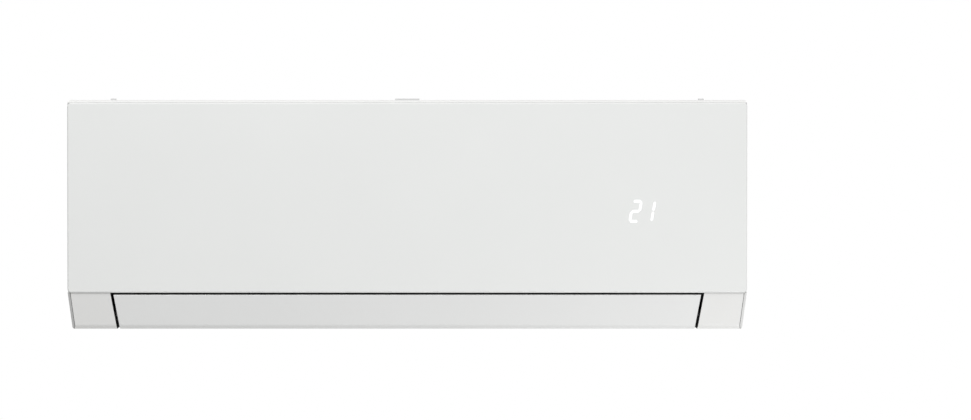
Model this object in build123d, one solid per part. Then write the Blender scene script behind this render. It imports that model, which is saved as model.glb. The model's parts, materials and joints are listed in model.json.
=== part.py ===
from build123d import *
import os
from math import atan2, cos, exp, hypot, pi, radians, sin

os.makedirs("parts", exist_ok=True)

# Wall-hung indoor unit of a split air conditioner, in millimetres.
# The origin is the centre of the wall plate's back face. +Z is up, +X is to the
# right as seen from the room, and the front faces -Y, so depths are negative y.

# ---- Overall size ----
WIDTH = 866.0
HEIGHT = 292.0
DEPTH = 209.0
WALL = 2.5  # moulded wall
SHEET = 1.2  # pressed steel
DRUM_SIDES = 18  # flats of the hidden round parts
TOP = HEIGHT / 2
BOTTOM = -HEIGHT / 2
FRONT = -DEPTH
HALF = WIDTH / 2

# ---- Front panel ----
PANEL_TOP = 141.5
PANEL_LOW = -98.9
PANEL_HALF = 432.5
PANEL_RIM = -193.5  # how far back the side rims reach
PANEL_RIM_TOP = -200.0
HINGE_Y = -201.0
HINGE_Z = 133.5
HINGE_PIN_R = 2.5
HINGE_X = 411.0  # outer face of the panel's hinge arm

# ---- Casing ----
FACE = -192.0  # the casing's front face, behind the panel
REAR = -1.5
STRIP_TOP_Y = -206.8  # the lower strip leans back from here
STRIP_LOW_Y = -193.2
STRIP_Z = -99.3
SIDE_TAPER = 5.4  # how much each side draws in below the strip's top
BLOCK_BEVEL = 4.0  # width of the end block's outer bevel, seen from the front
BLOCK_BEVEL_DEPTH = 9.0
MOUTH_HALF_TOP = 378.2
MOUTH_HALF_LOW = 370.3
MOUTH_REAR = -126.0
LIP = -195.0  # the casing's top edge reaches forward to here
LIP_T = 4.0

# ---- Air inlet and filters ----
BAY = 72.2  # spacing of the inlet's cross bars
BAYS = 9
INLET_LEFT = -381.0
INLET_RIGHT = INLET_LEFT + BAY * BAYS
INLET_FRONT = -172.0
INLET_REAR = -24.0
FILTER_Z = 141.2
FILTER_T = 4.3

# ---- Fan, scroll and air outlet ----
FAN_Y = -97.0
FAN_Z = -45.0
FAN_R = 47.0
FAN_LEFT = -350.0
FAN_RIGHT = 270.0
FAN_SEGMENTS = 2
FAN_BLADES = 33
SHAFT_R = 4.0
SCROLL_GROWTH = 0.12
SCROLL_START = -50.0  # degrees below the line from the fan to the wall
SCROLL_END = 66.6
SCROLL_R = 58.07
DUCT_LEFT = -353.5
DUCT_RIGHT = 273.5
FLOOR_END_Y = -134.0

# ---- Flap and vanes ----
FLAP_Y = -160.0
FLAP_Z = -128.0
FLAP_T = 2.2
FLAP_GAP = 3.3
FLAP_PIN_R = 3.0
VANE_FIRST = -322.0
VANE_PITCH = 60.0
VANE_XS = [VANE_FIRST + VANE_PITCH * number for number in range(10)]
VANE_T = 1.6
VANE_PIVOT = 26.0  # distance along the floor from the end of the scroll
VANE_LINK = 48.0
VANE_PIN_R = 2.0
CRANK_X = 255.0
LINK_PIN_R = 1.5
LINK_H = 20.0  # height of the link bar over the floor
RUNNING = 0.06  # radial clearance of a turning pin

# ---- Drain spout ----
SPOUT_Y = -172.0
SPOUT_Z = -82.5
SPOUT_R = 8.0
SPOUT_BORE = 6.2
SPOUT_END = 310.0


# ---- Helpers ----
def outline(points, radii=0):
    """Closed face through the points, each corner rounded by its radius."""
    return make_face(FilletPolyline(*points, radius=radii, close=True))


def along_x(face, x0, x1):
    """Solid whose (y, z) section runs from x0 to x1."""
    return extrude(Plane.YZ.offset(x0) * face, x1 - x0)


def along_y(face, y0, y1):
    """Solid whose (x, z) section runs from y0 to y1."""
    return extrude(Plane.XZ.offset(-y1) * face, y1 - y0)


def block(x0, x1, y0, y1, z0, z1):
    centre = Pos((x0 + x1) / 2, (y0 + y1) / 2, (z0 + z1) / 2)
    return centre * Box(x1 - x0, y1 - y0, z1 - z0)


def rod_x(radius, x0, x1, y, z):
    return Pos((x0 + x1) / 2, y, z) * Rot(0, 90, 0) * Cylinder(radius, x1 - x0)


def rod_y(radius, y0, y1, x, z):
    return Pos(x, (y0 + y1) / 2, z) * Rot(90, 0, 0) * Cylinder(radius, y1 - y0)


def drum(radius, x0, x1, y, z):
    """Round part inside the housing as a prism with DRUM_SIDES flats along X."""
    return along_x(Pos(y, z) * RegularPolygon(radius, DRUM_SIDES), x0, x1)


def both_sides(piece):
    return piece + mirror(piece, about=Plane.YZ)


def save(name, *pieces):
    solids = [solid for piece in pieces for solid in piece.solids()]
    whole = solids[0] if len(solids) == 1 else Compound(solids)
    export_step(whole, f"parts/{name}.step")


# ---- Scroll and floor of the air duct ----
def scroll_point(angle, wall=0.0):
    """Point of the log spiral behind the fan; the angle is in degrees below +Y."""
    radius = SCROLL_R * exp(SCROLL_GROWTH * radians(angle)) + wall
    return (FAN_Y + radius * cos(radians(angle)), FAN_Z - radius * sin(radians(angle)))


FLOOR_Y, FLOOR_Z = scroll_point(SCROLL_END)
FLOOR_SLOPE = radians(90.0 - SCROLL_END) + atan2(SCROLL_GROWTH, 1.0)
FLOW = (-cos(FLOOR_SLOPE), -sin(FLOOR_SLOPE))  # along the floor, out of the unit
RISE = (-sin(FLOOR_SLOPE), cos(FLOOR_SLOPE))  # square to the floor, into the duct


def on_floor(along, height):
    """(y, z) of a point given by its distance along and over the duct's floor."""
    return (
        FLOOR_Y + along * FLOW[0] + height * RISE[0],
        FLOOR_Z + along * FLOW[1] + height * RISE[1],
    )


FLOOR_LENGTH = (FLOOR_Y - FLOOR_END_Y) / cos(FLOOR_SLOPE)


def rod_floor(radius, h0, h1, x, along):
    """Round pin square to the floor, from height h0 to h1."""
    y, z = on_floor(along, h0)
    plane = Plane(origin=(x, y, z), x_dir=(1, 0, 0), z_dir=(0, *RISE))
    return extrude(plane * Circle(radius), h1 - h0)


PEG_SIDES = 8


def round_fit(radius):
    """Corner radius of an eight-sided hole whose flats touch a circle."""
    return radius / cos(pi / PEG_SIDES)


def peg_x(radius, x0, x1, y, z):
    """Eight-sided peg or hole across the unit."""
    return along_x(Pos(y, z) * RegularPolygon(radius, PEG_SIDES), x0, x1)


def peg_floor(radius, h0, h1, x, along):
    """Eight-sided peg square to the floor."""
    y, z = on_floor(along, h0)
    plane = Plane(origin=(x, y, z), x_dir=(1, 0, 0), z_dir=(0, *RISE))
    return extrude(plane * RegularPolygon(radius, PEG_SIDES), h1 - h0)


def floor_slab(face, x, along, h0, h1):
    """Flat piece over the floor; the face's x is +X and its y runs down the flow."""
    y, z = on_floor(along, h0)
    plane = Plane(origin=(x, y, z), x_dir=(-1, 0, 0), z_dir=(0, *RISE))
    return extrude(plane * face, h1 - h0)


SPIRAL_ARCS = 3


def spiral(wall):
    """The log spiral as arcs, each through three of its points."""
    step = (SCROLL_END - SCROLL_START) / SPIRAL_ARCS
    starts = [SCROLL_START + step * i for i in range(SPIRAL_ARCS)]
    return [
        ThreePointArc(*[scroll_point(a + step * share, wall) for share in (0.0, 0.5, 1.0)])
        for a in starts
    ]


def scroll_section():
    """Section of the moulded wall behind and below the fan, down to the outlet's lip."""
    inner = spiral(0.0)
    outer = spiral(WALL)
    inner_end = on_floor(FLOOR_LENGTH, 0.0)
    outer_end = on_floor(FLOOR_LENGTH, -WALL)
    edges = Curve() + [
        *inner,
        Line(inner[-1] @ 1, inner_end),
        Line(inner_end, outer_end),
        Line(outer_end, outer[-1] @ 1),
        *outer,
        Line(outer[0] @ 0, inner[0] @ 0),
    ]
    return make_face(edges)


# ---- Wall plate ----
PLATE_HALF = 320.0
PLATE_TOP = 112.0
PLATE_LOW = -58.0
PLATE_HOLE_X = 260.0
PLATE_HOLE_Z = 70.0
PLATE_HOLE_R = 3.2
PLATE_HOLE_MID = 25.0
HOOK_XS = [-230.0, 0.0, 230.0]


def wall_plate():
    """Pressed steel plate with bent edges, two windows and hooks that carry the unit."""
    middle = (PLATE_TOP + PLATE_LOW) / 2
    sheet = Pos(0, middle) * RectangleRounded(2 * PLATE_HALF, PLATE_TOP - PLATE_LOW, 12)
    for side in (-1, 1):
        sheet -= Pos(side * 145, middle) * Rectangle(150, 90)
    for x in (-PLATE_HOLE_X, PLATE_HOLE_X):
        for z in (-PLATE_HOLE_Z, PLATE_HOLE_Z):
            sheet -= Pos(x, z + PLATE_HOLE_MID) * Circle(PLATE_HOLE_R)
    plate = along_y(sheet, -SHEET, 0)
    for z in (PLATE_TOP - SHEET, PLATE_LOW):
        plate += block(-PLATE_HALF + 14, PLATE_HALF - 14, -6.5, -SHEET, z, z + SHEET)
    hook = outline([(-SHEET, 104), (-9.6, 104), (-9.6, 113), (-8.4, 113), (-8.4, 105.2), (-SHEET, 105.2)])
    for x in HOOK_XS:
        plate += along_x(hook, x - 20, x + 20)
    return plate


# ---- Rear chassis ----
BACK_FRONT = -12.5
BACK_REAR = -10.0
CHASSIS_HALF = 428.0
CHASSIS_TOP = 136.0
CHANNEL_TOP = -62.0
BEARING_SEAT_R = 14.0
BUSH_R = 7.5
MOTOR_R = 39.0
SCREW_XS = [-300.0, 0.0, 240.0]
SCREW_Y = -62.0
SCREW_R = 1.3
MOTOR_LEFT = 283.0
MOTOR_RIGHT = 345.0
RING_T = 2.0
BOSS_L = 8.0
BOSS_R = 13.0
CRADLE_T = 6.0
CRADLE_XS = [MOTOR_LEFT + 14, MOTOR_RIGHT - 20]
END_WALL_CLEAR = 32.6  # radius about the flap's pivot that the duct's end walls leave free
SPOUT_HOLE_R = 9.0
CRANK_HOLE_R = 3.2


def end_wall_section():
    """Section of the walls that close the duct beside the fan, clear of the flap's swing."""
    clear = [
        (FLAP_Y + END_WALL_CLEAR * cos(radians(turn)), FLAP_Z + END_WALL_CLEAR * sin(radians(turn)))
        for turn in (115, 86, 57, 28, -1, -30)
    ]
    points = [
        (BACK_REAR, CHANNEL_TOP), (BACK_REAR, 12), (-62, 12), (-84, 36), (-122, 36),
        (-151, 10), (-151, -62), (-138, -76), (-186, -91), (-186, -100), *clear,
        (-90, -121), (-60, -106), (-38, -76),
    ]
    return outline(points)


def rear_chassis():
    """Moulding that hangs on the plate: back wall, scroll, duct ends, gutter and motor bed."""
    back = Pos(0, (CHASSIS_TOP + CHANNEL_TOP) / 2) * RectangleRounded(
        2 * CHASSIS_HALF, CHASSIS_TOP - CHANNEL_TOP, 6
    )
    for x in HOOK_XS:
        back -= Pos(x, 108.5) * Rectangle(44, 14)
    body = along_y(back, BACK_FRONT, BACK_REAR)
    body += along_x(scroll_section(), DUCT_LEFT - WALL, DUCT_RIGHT + WALL)
    for x in (DUCT_LEFT - WALL, DUCT_RIGHT):
        body += along_x(end_wall_section(), x, x + WALL)
    top_y, top_z = scroll_point(SCROLL_START)
    gutter = outline([
        (BACK_FRONT, -1), (top_y + 0.4, -1), (top_y + 0.4, 12), (top_y + 2.6, 12),
        (top_y + 2.6, 1.2), (BACK_FRONT, 1.2),
    ])
    body += along_x(gutter, DUCT_LEFT - 20, DUCT_RIGHT + WALL)
    body += along_x(outline([
        (top_y, top_z), (top_y + 2.6, top_z - 1), (top_y + 2.6, 0), (top_y + 0.4, 0),
    ]), DUCT_LEFT, DUCT_RIGHT)
    body += block(-CHASSIS_HALF, CHASSIS_HALF, BACK_FRONT - 4, BACK_FRONT + 1, 132, CHASSIS_TOP)
    bed = outline([
        (BACK_FRONT + 1, -40), (-60, -62), (-110, -84), (-110, -92), (-60, -92), (BACK_FRONT + 1, -60),
    ])
    for x in CRADLE_XS:
        cradle = bed + Pos(FAN_Y, FAN_Z) * RegularPolygon(MOTOR_R + 4, DRUM_SIDES)
        cradle -= Pos(FAN_Y, FAN_Z) * RegularPolygon(MOTOR_R, DRUM_SIDES)
        cradle -= Pos(FAN_Y, FAN_Z + 50) * Rectangle(140, 100)
        body += along_x(cradle, x, x + CRADLE_T)
    body -= drum(BEARING_SEAT_R, DUCT_LEFT - 10, DUCT_LEFT + 10, FAN_Y, FAN_Z)
    body -= drum(HUB_R + 3, DUCT_RIGHT - 10, DUCT_RIGHT + 10, FAN_Y, FAN_Z)
    body -= rod_x(SPOUT_HOLE_R, DUCT_RIGHT - 1, DUCT_RIGHT + WALL + 1, SPOUT_Y, SPOUT_Z)
    for x in VANE_XS:
        body -= peg_floor(round_fit(VANE_PIN_R + RUNNING), -6.0, 1.0, x, VANE_PIVOT)
    body -= peg_floor(round_fit(CRANK_HOLE_R), -6.0, 1.0, CRANK_X, VANE_PIVOT)
    for x in SCREW_XS:
        body += block(x - 4, x + 4, SCREW_Y - 4, SCREW_Y + 4, -133.5, -104.6)
        body -= Pos(x, SCREW_Y, -134) * extrude(RegularPolygon(SCREW_R + 0.02, 8), 16)
    return body


# ---- Casing ----
def casing_points():
    """Side view of the casing, from its top rear corner forward and round."""
    return [
        (REAR, TOP), (LIP, TOP), (LIP, TOP - LIP_T), (FACE, TOP - LIP_T - 3), (FACE, STRIP_Z),
        (STRIP_TOP_Y, STRIP_Z), (STRIP_LOW_Y, BOTTOM), (-122, BOTTOM), (REAR, BOTTOM + 15),
    ]


def front_outline(inset=0.0):
    """Front view of the casing: square shoulders, sides that draw in at the bottom."""
    top, low, half = TOP - inset, BOTTOM + inset, HALF - inset
    points = [
        (-half, top), (half, top), (half, STRIP_Z),
        (half - SIDE_TAPER, low), (-half + SIDE_TAPER, low), (-half, STRIP_Z),
    ]
    return outline(points, [4.5, 4.5, 0, 3, 3, 0])


def mouth(inset=0.0):
    """Front view of the outlet between the end blocks, with its leaning ends."""
    lean = (MOUTH_HALF_TOP - MOUTH_HALF_LOW) / (STRIP_Z - BOTTOM)
    high, low = STRIP_Z + 2.5, BOTTOM - 2
    wide = MOUTH_HALF_TOP + lean * 2.5 - inset
    narrow = MOUTH_HALF_LOW - lean * 2 - inset
    return outline([(-wide, high), (wide, high), (narrow, low), (-narrow, low)])


def end_block_wall():
    """Inner wall of the right end block, which leans with the outlet's end."""
    section = outline([
        (STRIP_TOP_Y + 0.4, STRIP_Z - 0.4), (STRIP_LOW_Y + 1.4, BOTTOM + 2.4), (-188, BOTTOM + 1),
        (MOUTH_REAR - 1, BOTTOM + 1), (MOUTH_REAR - 1, STRIP_Z - 0.4),
    ])
    lean = (MOUTH_HALF_TOP - MOUTH_HALF_LOW) / (STRIP_Z - BOTTOM)
    slope = outline([
        (MOUTH_HALF_TOP, STRIP_Z), (MOUTH_HALF_TOP + WALL, STRIP_Z),
        (MOUTH_HALF_LOW + WALL - lean, BOTTOM - 1), (MOUTH_HALF_LOW - lean, BOTTOM - 1),
    ])
    return along_x(section, 360, 385) & along_y(slope, -215, -130)


def along_block_edge(points):
    """Solid that follows the right end block's outer edge from its top to the underside."""
    fall = Vector(-SIDE_TAPER, STRIP_LOW_Y - STRIP_TOP_Y, BOTTOM - STRIP_Z)
    section = outline([(HALF + x, STRIP_TOP_Y + y) for x, y in points])
    return extrude(Plane.XY.offset(STRIP_Z) * section, fall.length + 2, dir=fall)


def end_block_bevel():
    """Cut for the bevel along the right end block's outer edge."""
    return along_block_edge([
        (-BLOCK_BEVEL, -3), (-BLOCK_BEVEL, 0), (0, BLOCK_BEVEL_DEPTH), (3, BLOCK_BEVEL_DEPTH), (3, -3),
    ])


def end_block_corner():
    """Wall behind that bevel, one moulded wall thick."""
    return along_block_edge([
        (-BLOCK_BEVEL - 2.3, 1), (-1, 1), (-1, BLOCK_BEVEL_DEPTH + 1), (-2.3, BLOCK_BEVEL_DEPTH + 1),
    ])


def flap_shroud_section():
    """Wall that closes the outlet beside the duct, clear of the flap's swing."""
    swing = 31.0
    start, end = radians(115), radians(-30)
    mid = (start + end) / 2
    top_in = (FLAP_Y + swing * cos(start), FLAP_Z + swing * sin(start))
    low_in = (FLAP_Y + swing * cos(end), FLAP_Z + swing * sin(end))
    mid_in = (FLAP_Y + swing * cos(mid), FLAP_Z + swing * sin(mid))
    wide = swing + 2.0
    top_out = (FLAP_Y + wide * cos(start), FLAP_Z + wide * sin(start))
    low_out = (FLAP_Y + wide * cos(end), FLAP_Z + wide * sin(end))
    mid_out = (FLAP_Y + wide * cos(mid), FLAP_Z + wide * sin(mid))
    edges = Curve() + [
        ThreePointArc(top_in, mid_in, low_in), Line(low_in, low_out),
        ThreePointArc(low_out, mid_out, top_out), Line(top_out, top_in),
    ]
    return make_face(edges)


WINDOW_LOW = -52.0
WINDOW_TOP = 122.0
WINDOWS = [(-380.0, -62.0), (-50.0, 266.0)]
COVER_LEFT, COVER_RIGHT, COVER_LOW, COVER_TOP = 302.0, 408.0, -36.0, 96.0
BUTTON_X, BUTTON_Z, BUTTON_R = 352.0, -72.0, 4.0
LATCH_X, LATCH_Z = 300.0, -84.0
EAR_R = 4.7
PIPE_EXIT_FRONT = -66.0
PIPE_EXIT_TOP = -66.0


def front_casing():
    """One moulded shell: sides, top rim, front face with windows, end blocks, underside."""
    side_radii = [3, 3.5, 0, 0, 0, 0.6, 9, 30, 5]
    side = outline(casing_points(), side_radii)
    outer = along_x(side, -HALF, HALF) & along_y(front_outline(), -230, 10)
    hollow_side = offset(side, -WALL, kind=Kind.INTERSECTION)
    hollow = along_x(hollow_side, -HALF, HALF) & along_y(front_outline(WALL), -230, 10)
    shell = outer - hollow - Pos(0, 6, 0) * hollow
    shell += both_sides(end_block_corner()) & outer
    shell -= both_sides(end_block_bevel())
    shell -= along_y(mouth(), -220, MOUTH_REAR)
    wall = end_block_wall()
    shell += both_sides(wall)
    reach = MOUTH_HALF_TOP + 1
    for x0, x1 in ((-reach, DUCT_LEFT - WALL), (DUCT_RIGHT + WALL, reach)):
        shell += along_x(flap_shroud_section(), x0, x1) & along_y(mouth(), -230, -100)
    shell += block(INLET_LEFT - 2, INLET_RIGHT + 2, INLET_FRONT - 2, INLET_REAR + 2, 138.5, TOP - 0.5)
    shell -= block(INLET_LEFT, INLET_RIGHT, INLET_FRONT, INLET_REAR, FILTER_Z - 0.2, TOP + 5)
    shell -= block(INLET_LEFT + 5, INLET_RIGHT - 5, INLET_FRONT + 5, INLET_REAR - 5, 130, TOP)
    for x0, x1 in WINDOWS:
        shell -= block(x0, x1, FACE - 5, FACE + WALL + 2, WINDOW_LOW, WINDOW_TOP)
    shell -= block(COVER_LEFT, COVER_RIGHT, FACE - 5, FACE + WALL + 2, COVER_LOW, COVER_TOP)
    shell -= rod_y(BUTTON_R + 0.3, FACE - 5, FACE + 5, BUTTON_X, BUTTON_Z)
    exit_side = outline([
        (5, PIPE_EXIT_TOP), (PIPE_EXIT_FRONT, PIPE_EXIT_TOP), (PIPE_EXIT_FRONT, BOTTOM + 15),
        (5, BOTTOM + 15),
    ], [0, 8, 8, 0])
    shell -= along_x(exit_side, -HALF - 5, -HALF + WALL + SIDE_TAPER + 1)
    for x in (-LATCH_X, LATCH_X):
        shell -= block(x - 9, x + 9, FACE - 5, FACE + 5, LATCH_Z - 6, LATCH_Z + 6)
    half = EAR_R * sin(radians(22.5))
    ear = outline([
        (FACE, HINGE_Z - 10), (HINGE_Y - half, HINGE_Z - EAR_R), (HINGE_Y - EAR_R, HINGE_Z - half),
        (HINGE_Y - EAR_R, HINGE_Z + half), (HINGE_Y - half, HINGE_Z + EAR_R),
        (HINGE_Y + half, HINGE_Z + EAR_R), (HINGE_Y + EAR_R, HINGE_Z + half),
        (HINGE_Y + EAR_R, HINGE_Z), (FACE, HINGE_Z),
    ])
    ears = along_x(ear, HINGE_X + 2, HINGE_X + 7)
    ears -= peg_x(round_fit(HINGE_PIN_R + RUNNING), HINGE_X, HINGE_X + 10, HINGE_Y, HINGE_Z)
    shell += both_sides(ears)
    for x in SCREW_XS:
        shell -= Pos(x, SCREW_Y, -150) * extrude(RegularPolygon(SCREW_R + 0.4, 8), 30)
    shell -= peg_x(round_fit(FLAP_PIN_R + RUNNING), -378, -366, FLAP_Y, FLAP_Z)
    shell -= peg_x(5.2, 366, 378, FLAP_Y, FLAP_Z)
    return shell


CLIP_Y = -5.0


def casing_clips():
    """Snap clips that tie the casing's top rear edge to the chassis."""
    clips = []
    for x, width in ((0.0, 32.0), (-386.0, 7.0), (386.0, 7.0)):
        clips.append(along_x(outline([
            (CLIP_Y - 4, TOP), (CLIP_Y - 3, TOP + 2), (CLIP_Y + 3, TOP + 2), (CLIP_Y + 3, TOP),
        ], [0, 1, 1, 0]), x - width / 2, x + width / 2))
    return clips


GRID_BAR = 2.5


def inlet_grid():
    """Coarse grid under the filters that keeps fingers off the fins."""
    z0, z1 = 134.0, 138.5
    x0, x1 = INLET_LEFT + 1, INLET_RIGHT - 1
    y0, y1 = INLET_FRONT + 1, INLET_REAR - 1
    grid = block(x0, x1, y0, y1, z0, z1) - block(x0 + 4, x1 - 4, y0 + 4, y1 - 4, z0 - 1, z1 + 1)
    for i in range(1, BAYS):
        x = INLET_LEFT + i * BAY
        grid += block(x - GRID_BAR / 2, x + GRID_BAR / 2, y0 + 2, y1 - 2, z0, z1)
    for i in (1, 2):
        y = y0 + i * (y1 - y0) / 3
        grid += block(x0 + 2, x1 - 2, y - GRID_BAR / 2, y + GRID_BAR / 2, z0, z1)
    return grid


def filter_frame(x0, x1, first_bar):
    """Lift-out filter frame with a bar at each bay and a finger tab at its front edge."""
    y0, y1 = INLET_FRONT + 0.4, INLET_REAR - 0.4
    z0, z1 = FILTER_Z, FILTER_Z + FILTER_T
    frame = block(x0, x1, y0, y1, z0, z1)
    frame -= block(x0 + 7, x1 - 7, y0 + 7, y1 - 7, z0 - 1, z1 + 1)
    x = first_bar
    while x < x1 - 8:
        if x > x0 + 8:
            frame += block(x - 1.5, x + 1.5, y0 + 5, y1 - 5, z0, z1)
        x += BAY
    for i in (1, 2):
        y = y0 + i * (y1 - y0) / 3
        frame += block(x0 + 5, x1 - 5, y - 1, y + 1, z0 + 1, z1 - 0.6)
    middle = (x0 + x1) / 2
    frame -= block(middle - 20, middle + 20, y0 - 1, y0 + 3.2, z0 + 1.5, z1 + 1)
    return frame


def filter_mesh(x0, x1):
    return block(x0 + 5.2, x1 - 5.2, INLET_FRONT + 5.6, INLET_REAR - 5.6, FILTER_Z - 0.6, FILTER_Z)


# ---- Front panel ----
DIGIT_X = 297.0
DIGIT_Z = 5.0
DIGIT_H = 29.0
DIGIT_W = 15.0
STROKE = 3.4
DIGIT_STEP = 21.0
DIGIT_LEAN = 0.12
SEGMENTS_OF = {"2": "abged", "1": "bc"}


def segment_faces():
    """Leaning seven-segment figures that read 21, as bars with pointed ends."""
    half_w, half_h = DIGIT_W / 2 - STROKE / 2, DIGIT_H / 2 - STROKE / 2
    places = {
        "a": (0, half_h, False), "g": (0, 0, False), "d": (0, -half_h, False),
        "b": (half_w, half_h / 2, True), "c": (half_w, -half_h / 2, True),
        "e": (-half_w, -half_h / 2, True), "f": (-half_w, half_h / 2, True),
    }
    faces = []
    for index, figure in enumerate("21"):
        centre = DIGIT_X + (index - 0.5) * DIGIT_STEP
        for letter in SEGMENTS_OF[figure]:
            cx, cz, upright = places[letter]
            reach = (half_h / 2 if upright else half_w) - 0.35
            tip = STROKE / 2
            bar = [(-reach, 0), (-reach + tip, tip), (reach - tip, tip), (reach, 0),
                   (reach - tip, -tip), (-reach + tip, -tip)]
            turned = [(v, u) if upright else (u, v) for u, v in bar]
            faces.append(outline([
                (centre + cx + u + DIGIT_LEAN * (cz + v), DIGIT_Z + cz + v) for u, v in turned
            ]))
    return faces


ARM_R = 4.5  # of the hinge arm about its pin
RIB_T = 1.6
RIB_H = 4.0
RIB_TOP = 120.0
RIB_XS = [-290.0, -145.0, 0.0, 145.0]
RIB_ZS = [-50.0, 60.0]


def front_panel():
    """Flat moulded door with rims, back ribs, hinge arms, latches and display windows."""
    middle = (PANEL_TOP + PANEL_LOW) / 2
    tall = PANEL_TOP - PANEL_LOW
    face = Pos(0, middle) * RectangleRounded(2 * PANEL_HALF, tall, 4.5)
    inside = Pos(0, middle) * RectangleRounded(2 * PANEL_HALF - 2 * WALL, tall - 2 * WALL, 3)
    door = along_y(face, FRONT, PANEL_RIM)
    door = chamfer(door.faces().sort_by(Axis.Y)[0].edges(), 1.2)
    door -= along_y(inside, FRONT + WALL, 0)
    door -= along_x(outline([
        (PANEL_RIM_TOP, PANEL_TOP + 5), (PANEL_RIM_TOP, 134), (PANEL_RIM, 124), (-180, 124),
        (-180, PANEL_TOP + 5),
    ]), -HALF - 5, HALF + 5)
    back = FRONT + WALL
    half_rib = RIB_T / 2
    for x in RIB_XS:
        door += block(x - half_rib, x + half_rib, back - 0.5, back + RIB_H, PANEL_LOW + 2, RIB_TOP)
    for z in RIB_ZS:
        door += block(
            -PANEL_HALF + 2, PANEL_HALF - 2, back - 0.5, back + RIB_H, z - half_rib, z + half_rib
        )
    arm = outline([
        (back - 0.5, HINGE_Z - 8), (HINGE_Y, HINGE_Z - ARM_R), (HINGE_Y + 2, HINGE_Z - ARM_R),
        (HINGE_Y + ARM_R, HINGE_Z - 2), (HINGE_Y + ARM_R, HINGE_Z + 2), (HINGE_Y + 2, HINGE_Z + ARM_R),
        (back - 0.5, HINGE_Z + ARM_R),
    ])
    arms = along_x(arm, HINGE_X - 6, HINGE_X)
    arms += rod_x(HINGE_PIN_R, HINGE_X - 1, HINGE_X + 9, HINGE_Y, HINGE_Z)
    hook = outline([
        (back - 0.5, LATCH_Z - 2), (-188.5, LATCH_Z - 2), (-188.5, LATCH_Z + 3.4),
        (-190, LATCH_Z + 3.4), (-191.5, LATCH_Z), (back - 0.5, LATCH_Z),
    ])
    arms += along_x(hook, LATCH_X - 6, LATCH_X + 6)
    door += both_sides(arms)
    for segment in segment_faces():
        door -= along_y(segment, FRONT - 2, FRONT + 5)
    return door


def display_segments():
    return [along_y(segment, FRONT, FRONT + WALL) for segment in segment_faces()]


def display_guide():
    """Light guide block behind the figures, hollow behind each one."""
    y0, y1 = FRONT + WALL, FRONT + WALL + 5.5
    guide = block(DIGIT_X - 26, DIGIT_X + 26, y0, y1, DIGIT_Z - 19, DIGIT_Z + 19)
    for index in (-0.5, 0.5):
        x = DIGIT_X + index * DIGIT_STEP
        guide -= block(x - 8.5, x + 8.5, y0 + 1, y1 + 1, DIGIT_Z - 16, DIGIT_Z + 16)
    return guide


def display_board():
    y0 = FRONT + WALL + 5.5
    board = block(DIGIT_X - 30, DIGIT_X + 30, y0, y0 + 1.6, DIGIT_Z - 24, DIGIT_Z + 24)
    return board


def display_plug():
    y0 = FRONT + WALL + 7.1
    return block(DIGIT_X + 8, DIGIT_X + 24, y0, y0 + 4.2, DIGIT_Z - 22, DIGIT_Z - 16)


# ---- Flap ----
ROOF_FRONT = (-184.0, -95.5)
ROOF_REAR = (-138.5, -80.5)


def roof_z(y):
    """Height of the duct's roof, which is the underside of the drain pan."""
    share = (y - ROOF_FRONT[0]) / (ROOF_REAR[0] - ROOF_FRONT[0])
    return ROOF_FRONT[1] + share * (ROOF_REAR[1] - ROOF_FRONT[1])


INNER_TOP = (STRIP_TOP_Y + 3.6, STRIP_Z - 2.1 - FLAP_T)
INNER_CORNER = (STRIP_LOW_Y + 2.1, BOTTOM + FLAP_T)
ARM_RELIEF = 6.5  # how far the arms stay off the blade's rounded corner
EYE_R = 4.6


def flap_section():
    """Section of the flap: front blade, rounded corner and belly, one wall thick."""
    top = (STRIP_TOP_Y + 0.6, STRIP_Z - 2.1)
    belly = (-139.0, BOTTOM + 1.3)
    corner = (STRIP_LOW_Y + 0.2, BOTTOM)
    lip = (top[0] + 7.5, top[1])
    path = FilletPolyline(lip, top, corner, (-152, BOTTOM), belly, radius=[1.3, 9, 30])
    inner_belly = (belly[0], belly[1] + FLAP_T)
    inner = FilletPolyline(
        (lip[0], lip[1] - FLAP_T), INNER_TOP, INNER_CORNER, (-152, BOTTOM + FLAP_T), inner_belly,
        radius=[0.5, 7, 30],
    )
    edges = Curve() + [path, inner, Line(path @ 0, inner @ 0), Line(path @ 1, inner @ 1)]
    return make_face(edges)


FLAP_END_ARM = 361.0
FLAP_MID_ARM = 180.0
FLAP_ARM_T = 3.0
HANGERS = [-186.0, 186.0]
HANGER_FRONT, HANGER_REAR = -176.0, -158.0
DRIVE_R = 2.5  # the flap motor's shaft
DRIVE_BOSS_R = 5.0


def flap():
    """Wide blade of the outlet flap, one wall thick."""
    return along_x(flap_section(), -380, 380) & along_y(mouth(FLAP_GAP), -220, -120)


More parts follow.
